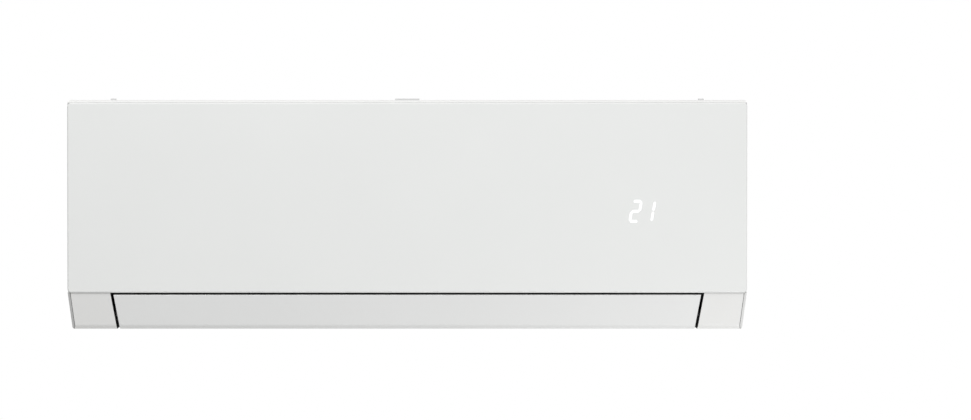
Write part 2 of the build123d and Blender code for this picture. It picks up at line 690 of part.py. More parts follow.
def flap_arms():
    """Five arms staked to the blade's inside, relieved at its corner, that carry it on its pivots."""
    fall = (INNER_CORNER[1] - INNER_TOP[1]) / (INNER_CORNER[0] - INNER_TOP[0])

    def on_front(z):
        """Point of the blade's flat inner front at a height."""
        return (INNER_TOP[0] + (z - INNER_TOP[1]) / fall, z)

    floor = INNER_CORNER[1]
    plate = outline([
        on_front(-110.5), on_front(floor + ARM_RELIEF), (INNER_CORNER[0] + ARM_RELIEF, floor),
        (-155, floor), (-148, floor + 4), (FLAP_Y + EYE_R, FLAP_Z - 1), (FLAP_Y + 3, FLAP_Z + EYE_R),
        (FLAP_Y - 4, FLAP_Z + EYE_R), (-197, -109.5),
    ])
    half = FLAP_ARM_T / 2
    middle = along_x(plate, -half, half)
    mid_arm = along_x(plate, FLAP_MID_ARM - half, FLAP_MID_ARM + half)
    mid_arm += rod_x(FLAP_PIN_R, FLAP_MID_ARM, FLAP_MID_ARM + 11, FLAP_Y, FLAP_Z)
    left = along_x(plate, -FLAP_END_ARM - half, -FLAP_END_ARM + half)
    left += rod_x(FLAP_PIN_R, -FLAP_END_ARM - 14.8, -FLAP_END_ARM, FLAP_Y, FLAP_Z)
    right = along_x(plate, FLAP_END_ARM - half, FLAP_END_ARM + half)
    right += peg_x(DRIVE_BOSS_R, FLAP_END_ARM - 6, FLAP_END_ARM, FLAP_Y, FLAP_Z)
    right -= rod_x(DRIVE_R, FLAP_END_ARM - 5, FLAP_END_ARM + 4, FLAP_Y, FLAP_Z)
    return [left, mirror(mid_arm, about=Plane.YZ), middle, mid_arm, right]


def flap_hangers():
    """Two brackets under the duct's roof whose eyes take the flap's middle pins."""
    plate = outline([
        (HANGER_FRONT, roof_z(HANGER_FRONT)), (FLAP_Y - 5, FLAP_Z + 6), (FLAP_Y - 5, FLAP_Z - 2),
        (FLAP_Y - 2, FLAP_Z - 5), (FLAP_Y + 2, FLAP_Z - 5), (FLAP_Y + 5, FLAP_Z - 2),
        (FLAP_Y + 5, FLAP_Z + 6), (HANGER_REAR, roof_z(HANGER_REAR)),
    ])
    brackets = []
    for x in HANGERS:
        bracket = along_x(plate, x - 1.5, x + 1.5)
        bracket -= peg_x(round_fit(FLAP_PIN_R + RUNNING), x - 5, x + 5, FLAP_Y, FLAP_Z)
        brackets.append(bracket)
    return brackets


# ---- Vanes, link bar and crank ----
def vane(x):
    """Upright vane: its edge follows the fan, and a notch takes the link bar."""
    points = [
        (15, 0.4), (15, 13), (30, 29), (46, 43), (57, 43), (57, LINK_H + 5.6),
        (VANE_LINK - 4.5, LINK_H + 5.6), (VANE_LINK - 4.5, LINK_H - 2.4), (57, LINK_H - 2.4),
        (57, 8), (49, 0.4),
    ]
    blade = along_x(outline([on_floor(s, h) for s, h in points]), x - VANE_T / 2, x + VANE_T / 2)
    blade += rod_floor(VANE_PIN_R, -4.6, 1.0, x, VANE_PIVOT)
    blade += peg_floor(LINK_PIN_R, LINK_H - 1.0, LINK_H + 6.0, x, VANE_LINK)
    return blade


def link_bar():
    """Flat bar with a square hole for the pin of each vane and of the crank."""
    x0, x1 = VANE_FIRST - 8, CRANK_X + 4
    bar = floor_slab(Rectangle(x1 - x0, 6.0), (x0 + x1) / 2, VANE_LINK, LINK_H, LINK_H + 1.6)
    side = 2 * (LINK_PIN_R + RUNNING)
    for x in [*VANE_XS, CRANK_X]:
        bar -= floor_slab(Rectangle(side, side), x, VANE_LINK, LINK_H - 1, LINK_H + 3)
    return bar


CRANK_SHAFT_R = 2.4


def swing_crank():
    """Crank on the swing motor's shaft; its pin drives the link bar."""
    middle = (VANE_PIVOT + VANE_LINK) / 2
    reach = VANE_LINK - VANE_PIVOT
    arm = floor_slab(Rectangle(6, reach + 6), CRANK_X, middle, 14.0, 17.0)
    arm += peg_floor(3.5, 0.5, 15.0, CRANK_X, VANE_PIVOT)
    arm += rod_floor(LINK_PIN_R, 16.0, LINK_H + 2.4, CRANK_X, VANE_LINK)
    arm += rod_floor(CRANK_SHAFT_R, -5.5, 1.0, CRANK_X, VANE_PIVOT)
    return arm


def swing_motor():
    can = peg_floor(9.0, -16.0, -3.2, CRANK_X, VANE_PIVOT)
    can -= peg_floor(round_fit(CRANK_SHAFT_R + RUNNING), -6.5, -3.0, CRANK_X, VANE_PIVOT)
    return can


# ---- Cross-flow fan ----
RING_INNER = 33.5
BLADE_INNER = 35.2
BLADE_OUTER = 46.4
BLADE_LAG = 9.0  # degrees from a blade's outer to its inner edge
BLADE_BOW = 2.7
BLADE_T = 1.3
HUB_R = 12.0
SEGMENT_TURN = 2.2  # degrees that each segment is turned against the last


def blade_face(turn):
    """Crescent section of one fan blade, bent once at its middle."""
    outer = (BLADE_OUTER * cos(radians(turn)), BLADE_OUTER * sin(radians(turn)))
    inner_turn = radians(turn - BLADE_LAG)
    inner = (BLADE_INNER * cos(inner_turn), BLADE_INNER * sin(inner_turn))
    run = (inner[0] - outer[0], inner[1] - outer[1])
    length = hypot(*run)
    side = (run[1] / length, -run[0] / length)

    def bowed(share, bow):
        lift = 4 * share * (1 - share) * bow
        return (outer[0] + share * run[0] + lift * side[0], outer[1] + share * run[1] + lift * side[1])

    return outline([outer, bowed(0.5, BLADE_BOW), inner, bowed(0.5, BLADE_BOW + BLADE_T)])


def fan_wheel():
    """Blade ring in welded segments, each turned a little against the last."""
    length = (FAN_RIGHT - FAN_LEFT) / FAN_SEGMENTS
    centre = Pos(FAN_Y, FAN_Z)
    wheel = []
    for segment in range(FAN_SEGMENTS):
        x0 = FAN_LEFT + segment * length
        x1 = x0 + length
        closed_end = segment == 0
        disc = Circle(FAN_R) if closed_end else Circle(FAN_R) - Circle(RING_INNER)
        parts = [along_x(centre * disc, x0, x0 + 2.5)]
        for index in range(FAN_BLADES):
            turn = 360.0 * index / FAN_BLADES + SEGMENT_TURN * segment
            parts.append(along_x(centre * blade_face(turn), x0 + 2.5, x1))
        wheel += parts
    hub_seat = Circle(FAN_R) - RegularPolygon(HUB_R, DRUM_SIDES)
    wheel.append(along_x(centre * hub_seat, FAN_RIGHT, FAN_RIGHT + 2.5))
    return wheel[0].fuse(*wheel[1:])


def fan_hub():
    """Rubber-cushioned hub that grips the motor shaft, seated in the fan's right disc."""
    hub = drum(HUB_R, FAN_RIGHT - 22, FAN_RIGHT + 2.5, FAN_Y, FAN_Z)
    return hub - rod_x(SHAFT_R, FAN_RIGHT - 18, FAN_RIGHT + 5, FAN_Y, FAN_Z)


def fan_stub():
    return rod_x(SHAFT_R, FAN_LEFT - 16, FAN_LEFT, FAN_Y, FAN_Z)


def motor_shaft():
    return rod_x(SHAFT_R, FAN_RIGHT - 18, MOTOR_RIGHT + 3, FAN_Y, FAN_Z)


def fan_bearing():
    ring = drum(BUSH_R, FAN_LEFT - 16, FAN_LEFT - 4, FAN_Y, FAN_Z)
    return ring - rod_x(SHAFT_R + RUNNING, FAN_LEFT - 20, FAN_LEFT, FAN_Y, FAN_Z)


def bearing_holder():
    holder = drum(BEARING_SEAT_R, FAN_LEFT - 14, FAN_LEFT - 3, FAN_Y, FAN_Z)
    holder += drum(BEARING_SEAT_R + 3, FAN_LEFT - 16, DUCT_LEFT - WALL, FAN_Y, FAN_Z)
    return holder - drum(BUSH_R, FAN_LEFT - 20, FAN_LEFT, FAN_Y, FAN_Z)


def fan_motor():
    """Motor can with a boss at each end; it lies in rubber rings."""
    can = drum(MOTOR_R - RING_T, MOTOR_LEFT + BOSS_L, MOTOR_RIGHT - BOSS_L, FAN_Y, FAN_Z)
    can = chamfer(can.faces().sort_by(Axis.X)[0].edges() + can.faces().sort_by(Axis.X)[-1].edges(), 4.0)
    can += drum(BOSS_R, MOTOR_LEFT, MOTOR_RIGHT, FAN_Y, FAN_Z)
    return can - rod_x(SHAFT_R + RUNNING, MOTOR_LEFT - 5, MOTOR_RIGHT + 5, FAN_Y, FAN_Z)


def motor_rings():
    section = RegularPolygon(MOTOR_R, DRUM_SIDES) - RegularPolygon(MOTOR_R - RING_T, DRUM_SIDES)
    return [along_x(Pos(FAN_Y, FAN_Z) * section, x, x + CRADLE_T) for x in CRADLE_XS]


def motor_strap():
    """Half-round cover that holds the motor down on its bed."""
    inner = MOTOR_R + 0.4
    band = Pos(FAN_Y, FAN_Z) * (RegularPolygon(inner + 3.6, DRUM_SIDES) - RegularPolygon(inner, DRUM_SIDES))
    band -= Pos(FAN_Y, FAN_Z - 60) * Rectangle(140, 120)
    x0, x1 = MOTOR_LEFT + 12, MOTOR_RIGHT - 12
    strap = along_x(band, x0, x1)
    for y in (FAN_Y - MOTOR_R - 10, FAN_Y + MOTOR_R + 2):
        strap += block(x0, x1, y, y + 8, FAN_Z, FAN_Z + 3)
    return strap


# ---- Evaporator ----
COIL_LEFT = -376.0
COIL_RIGHT = 262.0
COIL_T = 26.0
TUBE_R = 3.5
COIL_RUNS = {
    "fin_pack_lower": ((-167.0, 14.0), (-167.0, -60.0), 4),
    "fin_pack_upper": ((-106.0, 116.0), (-167.0, 26.0), 5),
    "fin_pack_rear": ((-80.0, 116.0), (-36.0, 38.0), 4),
}
PIPED_SLAB = "fin_pack_rear"


def slab_frame(start, end):
    """Plane on the slab's left end: its x runs from start to end, in the (y, z) plane."""
    run = (end[0] - start[0], end[1] - start[1])
    length = hypot(*run)
    direction = (0, run[0] / length, run[1] / length)
    return Plane(origin=(0, *start), x_dir=direction, z_dir=(1, 0, 0)), length


def slab_section(start, end):
    plane, length = slab_frame(start, end)
    return plane, Pos(length / 2, 0) * Rectangle(length, COIL_T)


def fin_pack(start, end):
    plane, section = slab_section(start, end)
    return extrude(plane.offset(COIL_LEFT) * section, COIL_RIGHT - COIL_LEFT)


def coil_end_plates():
    plates = []
    for start, end, _ in COIL_RUNS.values():
        plane, length = slab_frame(start, end)
        section = Pos(length / 2, 0) * Rectangle(length - 2, COIL_T - 1)
        for x in (COIL_LEFT - SHEET, COIL_RIGHT):
            plates.append(extrude(plane.offset(x) * section, SHEET))
    return plates


BEND_TURNS = [-90, -45, 0, 45, 90]
BEND_SIDES = 6


def tube_at(name, number):
    """(y, z) of a tube of a coil slab, counted from the slab's start."""
    start, end, tubes = COIL_RUNS[name]
    share = (number + 0.5) / tubes
    return (start[0] + share * (end[0] - start[0]), start[1] + share * (end[1] - start[1]))


def return_bend(name, number, x, outward):
    """Copper bend that joins a tube to the next one, in straight facets."""
    first, second = tube_at(name, number), tube_at(name, number + 1)
    middle = ((first[0] + second[0]) / 2, (first[1] + second[1]) / 2)
    half = ((second[0] - first[0]) / 2, (second[1] - first[1]) / 2)
    reach = hypot(*half)
    points = [(x, *first)]
    for turn in BEND_TURNS:
        along, out = sin(radians(turn)), cos(radians(turn))
        points.append((
            x + outward * (2.0 + reach * out), middle[0] + half[0] * along, middle[1] + half[1] * along,
        ))
    points.append((x, *second))
    path = Polyline(*points)
    ring = Plane(origin=path @ 0, z_dir=path % 0) * RegularPolygon(TUBE_R, BEND_SIDES)
    return sweep(ring, path, transition=Transition.RIGHT)


def hairpin_bends():
    """Return bends at both ends of the coil; the rear slab's last pair feeds the pipes."""
    bends = []
    for name, (_, _, tubes) in COIL_RUNS.items():
        for number in range(tubes - 1):
            if number % 2 == 0:
                bends.append(return_bend(name, number, COIL_LEFT - SHEET, -1))
            elif name != PIPED_SLAB:
                bends.append(return_bend(name, number, COIL_RIGHT + SHEET, 1))
    return bends


# ---- Drain pan ----
PAN_RIGHT = DUCT_RIGHT


def drain_pan():
    """Tray under the front coil with its spout; its underside is the duct's roof."""
    section = outline([
        (-188.5, -54), (-188.5, -95.5), ROOF_FRONT, ROOF_REAR, (-137, -76),
        (-146, -64), (-148, -64), (-150, -72), (-154, -76), (-184, -78), (-186, -54),
    ], [0, 0, 0, 2, 2, 0, 0, 0, 0, 0, 0])
    pan = along_x(section, DUCT_LEFT, PAN_RIGHT)
    for x in (DUCT_LEFT, PAN_RIGHT - 2):
        pan += block(x, x + 2, -187, -150, -79, -62)
    pan += rod_x(SPOUT_R, PAN_RIGHT - 1, SPOUT_END, SPOUT_Y, SPOUT_Z)
    return pan - rod_x(SPOUT_BORE, PAN_RIGHT - 16, SPOUT_END + 1, SPOUT_Y, SPOUT_Z)


# ---- Pipes ----
PIPE_END_X = -40.0
PIPE_DOWN_X = 281.0
LIQUID_R, GAS_R = 3.175, 4.76
LIQUID_THREAD_R, GAS_THREAD_R = 5.56, 7.94


def pipe(points, radii, radius):
    path = FilletPolyline(*points, radius=radii)
    start = Plane(origin=path @ 0, z_dir=path % 0)
    return sweep(start * RegularPolygon(radius, 8), path)


def liquid_pipe():
    y, z = tube_at(PIPED_SLAB, 2)
    x = PIPE_DOWN_X
    points = [(COIL_RIGHT + SHEET, y, z), (x, y, z), (x, -26, -84), (PIPE_END_X + 30, -26, -84)]
    return pipe(points, [9, 10], LIQUID_R)


def gas_pipe():
    y, z = tube_at(PIPED_SLAB, 1)
    x = PIPE_DOWN_X + 10.5
    points = [(COIL_RIGHT + SHEET, y, z), (x, y, z), (x, -28, -112), (PIPE_END_X, -28, -112)]
    return pipe(points, [14, 26], GAS_R)


def pipe_union(x, y, z, thread_r, hexagon):
    """Flare union: hexagon and male thread cylinder that points along -X."""
    nut = along_x(Pos(y, z) * RegularPolygon(hexagon, 6), x - 10, x)
    return nut + rod_x(thread_r, x - 26, x - 9, y, z)


# ---- Electrical box ----
BOX_LEFT, BOX_RIGHT = 300.0, 420.0
BOX_FRONT, BOX_BACK = -186.0, -144.0
BOX_LOW, BOX_TOP = -42.0, 112.0


def electric_box():
    tray = block(BOX_LEFT, BOX_RIGHT, BOX_FRONT, BOX_BACK, BOX_LOW, BOX_TOP)
    tray -= block(BOX_LEFT + 2, BOX_RIGHT - 2, BOX_FRONT - 1, BOX_BACK - 2, BOX_LOW + 2, BOX_TOP - 2)
    return tray


def control_board():
    return block(BOX_LEFT + 4, BOX_RIGHT - 4, -154, -152.4, BOX_LOW + 28, BOX_TOP - 4)


def board_components():
    """Capacitor, relay, transformer block and plug rows on the control board."""
    front = -154.0
    pieces = [along_y(Pos(BOX_LEFT + 24, 84) * RegularPolygon(9, DRUM_SIDES), front - 24, front)]
    for x0, x1, z0, z1, deep in (
        (342, 362, 70, 90, 16), (370, 400, 62, 96, 22), (312, 330, 20, 50, 14),
        (340, 400, 16, 26, 9), (340, 400, 34, 44, 9), (352, 396, -8, 4, 12),
    ):
        pieces.append(block(x0, x1, front - deep, front, z0, z1))
    return pieces


TERMINALS = 5
TERMINAL_PITCH = 16.4
TERMINAL_FIRST = 321.0


def terminal_block():
    """Stepped terminal strip with a barrier between its screws."""
    base = block(318, 402, -182, -166, BOX_LOW + 2, BOX_LOW + 22)
    for i in range(TERMINALS):
        x = TERMINAL_FIRST + i * TERMINAL_PITCH
        base -= block(x, x + TERMINAL_PITCH - 4, -183, -175, BOX_LOW + 5, BOX_LOW + 19)
    return base


def wiring_cover():
    cover = block(COVER_LEFT + 0.5, COVER_RIGHT - 0.5, FACE, FACE + 2.5, COVER_LOW + 0.5, COVER_TOP - 0.5)
    return fillet(cover.edges().filter_by(Axis.Y), 3)


def manual_button():
    cap = rod_y(BUTTON_R, FACE - 2.5, FACE + 4.5, BUTTON_X, BUTTON_Z)
    collar = Pos(BUTTON_X, BUTTON_Z) * RegularPolygon(BUTTON_R + 2, 8)
    return cap + along_y(collar, FACE + 3, FACE + 4.5)


def button_switch():
    front, back = FACE + 5.7, FACE + 9.7
    body = block(BUTTON_X - 6, BUTTON_X + 6, front, back, BUTTON_Z - 6, BUTTON_Z + 6)
    return body + block(BUTTON_X - 9, BUTTON_X + 9, back, back + 1.6, BUTTON_Z - 9, BUTTON_Z + 9)


FLAP_MOTOR_X = 379.5


def flap_motor():
    return drum(14.0, FLAP_MOTOR_X, FLAP_MOTOR_X + 18.5, FLAP_Y + 4, FLAP_Z + 6.5)


def flap_motor_shaft():
    return rod_x(DRIVE_R, FLAP_END_ARM - 4, FLAP_MOTOR_X - 0.1, FLAP_Y, FLAP_Z)


def screw(radius, length, head_r, head_h):
    """Pan-head screw along +Z, its head's underside at z = 0 and its shank upward."""
    shank = extrude(RegularPolygon(radius, 8), length)
    return shank + extrude(RegularPolygon(head_r, 8), -head_h)


def casing_screws():
    return [Pos(x, SCREW_Y, -139.1) * screw(SCREW_R, 19, 3.6, 2.0) for x in SCREW_XS]


# ---- Write every sub-part ----
save("wall_plate", wall_plate())
save("rear_chassis", rear_chassis())
save("front_casing", front_casing())
save("casing_clips", *casing_clips())
save("inlet_grid", inlet_grid())
MIDDLE = (INLET_LEFT + INLET_RIGHT) / 2
save("filter_frame_left", filter_frame(INLET_LEFT + 0.4, MIDDLE - 0.2, INLET_LEFT))
save("filter_frame_right", filter_frame(MIDDLE + 0.2, INLET_RIGHT - 0.4, INLET_RIGHT - 9 * BAY))
save("filter_mesh_left", filter_mesh(INLET_LEFT + 0.4, MIDDLE - 0.2))
save("filter_mesh_right", filter_mesh(MIDDLE + 0.2, INLET_RIGHT - 0.4))
save("front_panel", front_panel())
save("display_segments", *display_segments())
save("display_guide", display_guide())
save("display_board", display_board())
save("display_plug", display_plug())
save("flap", flap())
save("flap_arms", *flap_arms())
save("flap_hangers", *flap_hangers())
save("flap_motor", flap_motor())
save("flap_motor_shaft", flap_motor_shaft())
for number, x in enumerate(VANE_XS, start=1):
    save(f"vane_{number:02d}", vane(x))
save("link_bar", link_bar())
save("swing_crank", swing_crank())
save("swing_motor", swing_motor())
save("fan_wheel", fan_wheel())
save("fan_hub", fan_hub())
save("fan_stub", fan_stub())
save("motor_shaft", motor_shaft())
save("fan_bearing", fan_bearing())
save("bearing_holder", bearing_holder())
save("fan_motor", fan_motor())
save("motor_rings", *motor_rings())
save("motor_strap", motor_strap())
for name, (start, end, _) in COIL_RUNS.items():
    save(name, fin_pack(start, end))
save("coil_end_plates", *coil_end_plates())
save("hairpin_bends", *hairpin_bends())
save("drain_pan", drain_pan())
save("liquid_pipe", liquid_pipe())
save("gas_pipe", gas_pipe())
save("liquid_union", pipe_union(PIPE_END_X + 30, -26, -84, LIQUID_THREAD_R, 8.5))
save("gas_union", pipe_union(PIPE_END_X, -28, -112, GAS_THREAD_R, 11.0))
save("electric_box", electric_box())
save("control_board", control_board())
save("board_components", *board_components())
save("terminal_block", terminal_block())
save("wiring_cover", wiring_cover())
save("manual_button", manual_button())
save("button_switch", button_switch())
save("casing_screws", *casing_screws())
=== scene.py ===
"""Looks of a wall-hung indoor unit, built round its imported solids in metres."""

import json
from math import atan2, cos, pi, radians, sin

import bmesh
import bpy
from mathutils import Matrix, Vector


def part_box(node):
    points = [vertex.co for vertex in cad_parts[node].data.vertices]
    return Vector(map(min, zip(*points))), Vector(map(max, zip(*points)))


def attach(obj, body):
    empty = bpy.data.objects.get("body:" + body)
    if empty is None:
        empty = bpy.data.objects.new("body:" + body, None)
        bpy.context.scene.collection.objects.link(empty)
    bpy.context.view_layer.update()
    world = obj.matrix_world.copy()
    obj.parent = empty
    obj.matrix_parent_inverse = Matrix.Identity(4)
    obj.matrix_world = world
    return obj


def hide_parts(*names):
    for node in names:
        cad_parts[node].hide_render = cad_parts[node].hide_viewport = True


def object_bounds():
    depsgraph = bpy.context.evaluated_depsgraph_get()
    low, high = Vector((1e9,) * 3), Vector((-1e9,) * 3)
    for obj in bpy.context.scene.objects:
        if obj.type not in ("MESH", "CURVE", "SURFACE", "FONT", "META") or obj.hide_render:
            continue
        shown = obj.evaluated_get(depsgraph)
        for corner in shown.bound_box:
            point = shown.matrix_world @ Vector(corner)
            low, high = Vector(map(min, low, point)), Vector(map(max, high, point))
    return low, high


bl_info = {
    "name": "Indoor unit looks",
    "version": (1, 0, 0),
    "blender": (4, 5, 0),
    "location": "View3D > Sidebar > Indoor unit",
    "description": "Dresses the solids of a wall-hung indoor unit with finished pieces and materials",
    "category": "Object",
}

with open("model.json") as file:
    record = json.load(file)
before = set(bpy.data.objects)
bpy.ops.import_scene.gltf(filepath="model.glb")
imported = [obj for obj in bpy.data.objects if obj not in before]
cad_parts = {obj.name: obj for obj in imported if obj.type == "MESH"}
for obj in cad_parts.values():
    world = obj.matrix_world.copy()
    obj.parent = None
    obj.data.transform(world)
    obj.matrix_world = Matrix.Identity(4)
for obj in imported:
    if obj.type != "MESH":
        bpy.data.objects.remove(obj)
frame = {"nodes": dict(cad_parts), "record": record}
CAD_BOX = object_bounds()
MM = 0.001  # a plain size below is in millimetres, one times MM in metres


# ---- Settings ----
class UnitColours(bpy.types.PropertyGroup):
    """Colours of the unit's finishes."""

    shell: bpy.props.FloatVectorProperty(
        name="Casing white", description="Moulded white of the casing and its end blocks",
        subtype="COLOR", size=3, min=0, max=1, default=(0.80, 0.80, 0.79),
    )
    panel: bpy.props.FloatVectorProperty(
        name="Panel white", description="Smooth white of the front panel",
        subtype="COLOR", size=3, min=0, max=1, default=(0.815, 0.825, 0.815),
    )
    flap: bpy.props.FloatVectorProperty(
        name="Flap white", description="Smooth white of the outlet flap",
        subtype="COLOR", size=3, min=0, max=1, default=(0.80, 0.805, 0.80),
    )
    chassis: bpy.props.FloatVectorProperty(
        name="Chassis grey", description="Moulded grey of the chassis behind the coil",
        subtype="COLOR", size=3, min=0, max=1, default=(0.095, 0.10, 0.105),
    )
    # This dark also serves as painted shade inside the casing's outlet and as the painted shade lines along
    # the end blocks
    duct: bpy.props.FloatVectorProperty(
        name="Duct grey", description="Dark moulding of the drain pan, vanes and link bar",
        subtype="COLOR", size=3, min=0, max=1, default=(0.012, 0.013, 0.014),
    )
    grid: bpy.props.FloatVectorProperty(
        name="Grid grey", description="Inlet grid and filter frames",
        subtype="COLOR", size=3, min=0, max=1, default=(0.34, 0.36, 0.36),
    )
    board: bpy.props.FloatVectorProperty(
        name="Board green", description="Lacquer of the circuit boards",
        subtype="COLOR", size=3, min=0, max=1, default=(0.012, 0.085, 0.030),
    )


class UnitSizes(bpy.types.PropertyGroup):
    """Sizes of the fine detail that the solids leave out."""

    panel_edge: bpy.props.FloatProperty(
        name="Panel edge", description="Rounding along the panel's edges",
        subtype="DISTANCE", unit="LENGTH", min=0.0001, max=0.002, default=0.0007,
    )
    moulded_edge: bpy.props.FloatProperty(
        name="Moulded edge", description="Rounding along the other mouldings' edges",
        subtype="DISTANCE", unit="LENGTH", min=0.0001, max=0.001, default=0.0003,
    )
    fin_pitch: bpy.props.FloatProperty(
        name="Fin pitch", description="Distance from one coil fin to the next",
        subtype="DISTANCE", unit="LENGTH", min=0.001, max=0.004, default=0.0016,
    )
    net_pitch: bpy.props.FloatProperty(
        name="Net pitch", description="Distance between the strands of the filter nets",
        subtype="DISTANCE", unit="LENGTH", min=0.001, max=0.004, default=0.0019,
    )
    fan_segments: bpy.props.IntProperty(
        name="Fan segments", description="Number of welded segments of the cross-flow fan",
        min=3, max=14, default=10,
    )
    fan_blades: bpy.props.IntProperty(
        name="Fan blades", description="Number of blades in each segment", min=20, max=40, default=33,
    )


# ---- Shader graphs ----
MIX_FACTOR, MIX_FIRST, MIX_SECOND = 0, 6, 7  # numbers of a Mix node's inputs for colours
MIX_COLOUR = 2  # number of its output


class Wire:
    """One shader value; arithmetic on it adds Math nodes to its graph."""

    def __init__(self, graph, socket):
        self.graph = graph
        self.socket = socket

    def __add__(self, other):
        return self.graph.math("ADD", self, other)

    def __sub__(self, other):
        return self.graph.math("SUBTRACT", self, other)

    def __mul__(self, other):
        return self.graph.math("MULTIPLY", self, other)

    def __rsub__(self, other):
        return self.graph.math("SUBTRACT", other, self)

    __radd__ = __add__
    __rmul__ = __mul__


class Finish:
    """One material with its node graph, built round a Principled shader."""

    def __init__(self, name):
        self.material = bpy.data.materials.new(name)
        self.material.use_nodes = True
        self.tree = self.material.node_tree
        self.shader = next(n for n in self.tree.nodes if n.type == "BSDF_PRINCIPLED")
        self.place = self.add("ShaderNodeTexCoord").outputs["Object"]

    def add(self, kind, settings=None, **sockets):
        """Adds a node: its settings first, then each socket's value or link."""
        node = self.tree.nodes.new(kind)
        for name, value in (settings or {}).items():
            setattr(node, name, value)
        for name, value in sockets.items():
            self.feed(node.inputs[name.replace("_", " ")], value)
        return node

    def feed(self, socket, value):
        """Links a socket to a value of the graph, or sets it to a plain value."""
        if isinstance(value, Wire):
            value = value.socket
        if isinstance(value, bpy.types.NodeSocket):
            self.tree.links.new(value, socket)
        else:
            socket.default_value = value

    def math(self, operation, left, right):
        """A Math node on two values or links."""
        node = self.add("ShaderNodeMath", {"operation": operation})
        self.feed(node.inputs[0], left)
        self.feed(node.inputs[1], right)
        return Wire(self, node.outputs[0])

    def ramp(self, value, low, high):
        """0 below low, 1 above high, smooth between."""
        node = self.add("ShaderNodeMapRange", {"interpolation_type": "SMOOTHSTEP"}, Value=value)
        node.inputs["From Min"].default_value = low
        node.inputs["From Max"].default_value = high
        return Wire(self, node.outputs["Result"])

    def stretched(self, x=1.0, y=1.0, z=1.0):
        """Object coordinates scaled along each axis, for grain that runs one way."""
        return self.add("ShaderNodeMapping", {}, Vector=self.place, Scale=(x, y, z)).outputs["Vector"]

    def noise(self, scale, detail, vector=None, rough=0.5):
        """Cloudy noise from 0 to 1; scale counts its features in a metre."""
        place = vector or self.place
        node = self.add("ShaderNodeTexNoise", {}, Vector=place, Scale=scale, Detail=detail, Roughness=rough)
        return Wire(self, node.outputs["Fac"])

    def cells(self, scale, feature="F1", output="Distance"):
        """Cell pattern: the distance in a cell as a value, or the link of its colour."""
        node = self.add("ShaderNodeTexVoronoi", {"feature": feature}, Vector=self.place, Scale=scale)
        socket = node.outputs[output]
        return Wire(self, socket) if output == "Distance" else socket

    def mix(self, factor, first, second):
        """Colour between the first and the second, which are colours or links."""
        node = self.add("ShaderNodeMix", {"data_type": "RGBA"})
        self.feed(node.inputs[MIX_FACTOR], factor)
        for number, value in ((MIX_FIRST, first), (MIX_SECOND, second)):
            opaque = isinstance(value, tuple) and len(value) == 3
            self.feed(node.inputs[number], (*value, 1.0) if opaque else value)
        return node.outputs[MIX_COLOUR]

    def bump(self, height, strength, distance):
        """Feeds the shader's normal; distance is the height's full swing in metres."""
        node = self.add("ShaderNodeBump", {}, Height=height, Strength=strength, Distance=distance)
        self.feed(self.shader.inputs["Normal"], node.outputs["Normal"])

    def set(self, **sockets):
        """Values or links of the shader's own sockets."""
        for name, value in sockets.items():
            self.feed(self.shader.inputs[name.replace("_", " ")], value)


def shade(colour, factor):
    """The colour made lighter or darker by a factor."""
    return tuple(min(1.0, channel * factor) for channel in colour)


def moulded_plastic(name, colour, roughness, grain=0.02, cloud=0.025, coat=0.0):
    """Injection-moulded plastic: flow clouds that shade the colour by a share, and spark-eroded grain."""
    finish = Finish(name)
    clouds = finish.noise(scale=9.0, detail=4.0)
    fine = finish.noise(scale=2600.0, detail=2.0)
    scuffs = finish.ramp(finish.noise(scale=60.0, detail=6.0, rough=0.7), low=0.55, high=0.8)
    base = finish.mix(clouds, shade(colour, 1 - cloud), shade(colour, 1 + cloud))
    finish.set(
        Base_Color=base, Roughness=roughness + 0.05 * clouds + 0.06 * scuffs,
        Specular_IOR_Level=0.45, Coat_Weight=coat, Coat_Roughness=0.12,
    )
    finish.bump(fine + 0.4 * finish.noise(scale=420.0, detail=2.0), strength=grain, distance=0.2 * MM)
    return finish.material


def lit_figure():
    """Glowing diffuser of the display, a little brighter over each lamp behind it."""
    finish = Finish("lit_figure")
    lamps = finish.cells(180.0)
    glow = finish.mix(finish.ramp(lamps, low=0.0, high=0.9), (1.0, 1.0, 1.0), (0.93, 0.95, 0.97))
    finish.set(Base_Color=(0.3, 0.3, 0.3, 1.0), Roughness=0.4, Emission_Color=glow, Emission_Strength=0.95)
    return finish.material


def circuit_board(name, colour):
    """Lacquered board: lighter tracks, tinned pads and a woven ground."""
    finish = Finish(name)
    tracks = finish.cells(110.0, "DISTANCE_TO_EDGE")
    on_track = finish.ramp(tracks, low=0.045, high=0.06)
    pads = finish.cells(330.0)
    on_pad = 1 - finish.ramp(pads, low=0.16, high=0.19)
    copper_under = finish.mix(on_track, shade(colour, 1.9), colour)
    woven = finish.noise(scale=1400.0, detail=1.0)
    lacquer = finish.mix(woven * 0.3, copper_under, shade(colour, 1.3))
    finish.set(
        Base_Color=finish.mix(on_pad, lacquer, (0.55, 0.55, 0.52)), Roughness=0.32 + 0.1 * woven,
        Metallic=on_pad * 0.8, Coat_Weight=0.4, Coat_Roughness=0.1,
    )
    finish.bump((1 - on_track) + on_pad, strength=0.25, distance=0.1 * MM)
    return finish.material


def zinc_steel():
    """Hot-dip zinc: crystal flakes that differ in tone and gloss."""
    finish = Finish("zinc_steel")
    flakes = finish.cells(95.0, output="Color")
    tone = Wire(finish, finish.add("ShaderNodeSeparateColor", {}, Color=flakes).outputs["Red"])
    haze = finish.noise(scale=30.0, detail=5.0)
    finish.set(
        Base_Color=finish.mix(tone * 0.7 + haze * 0.3, (0.43, 0.44, 0.45), (0.66, 0.67, 0.68)),
        Metallic=0.9, Roughness=0.32 + 0.22 * tone,
    )
    finish.bump(finish.noise(scale=700.0, detail=2.0), strength=0.05, distance=0.1 * MM)
    return finish.material


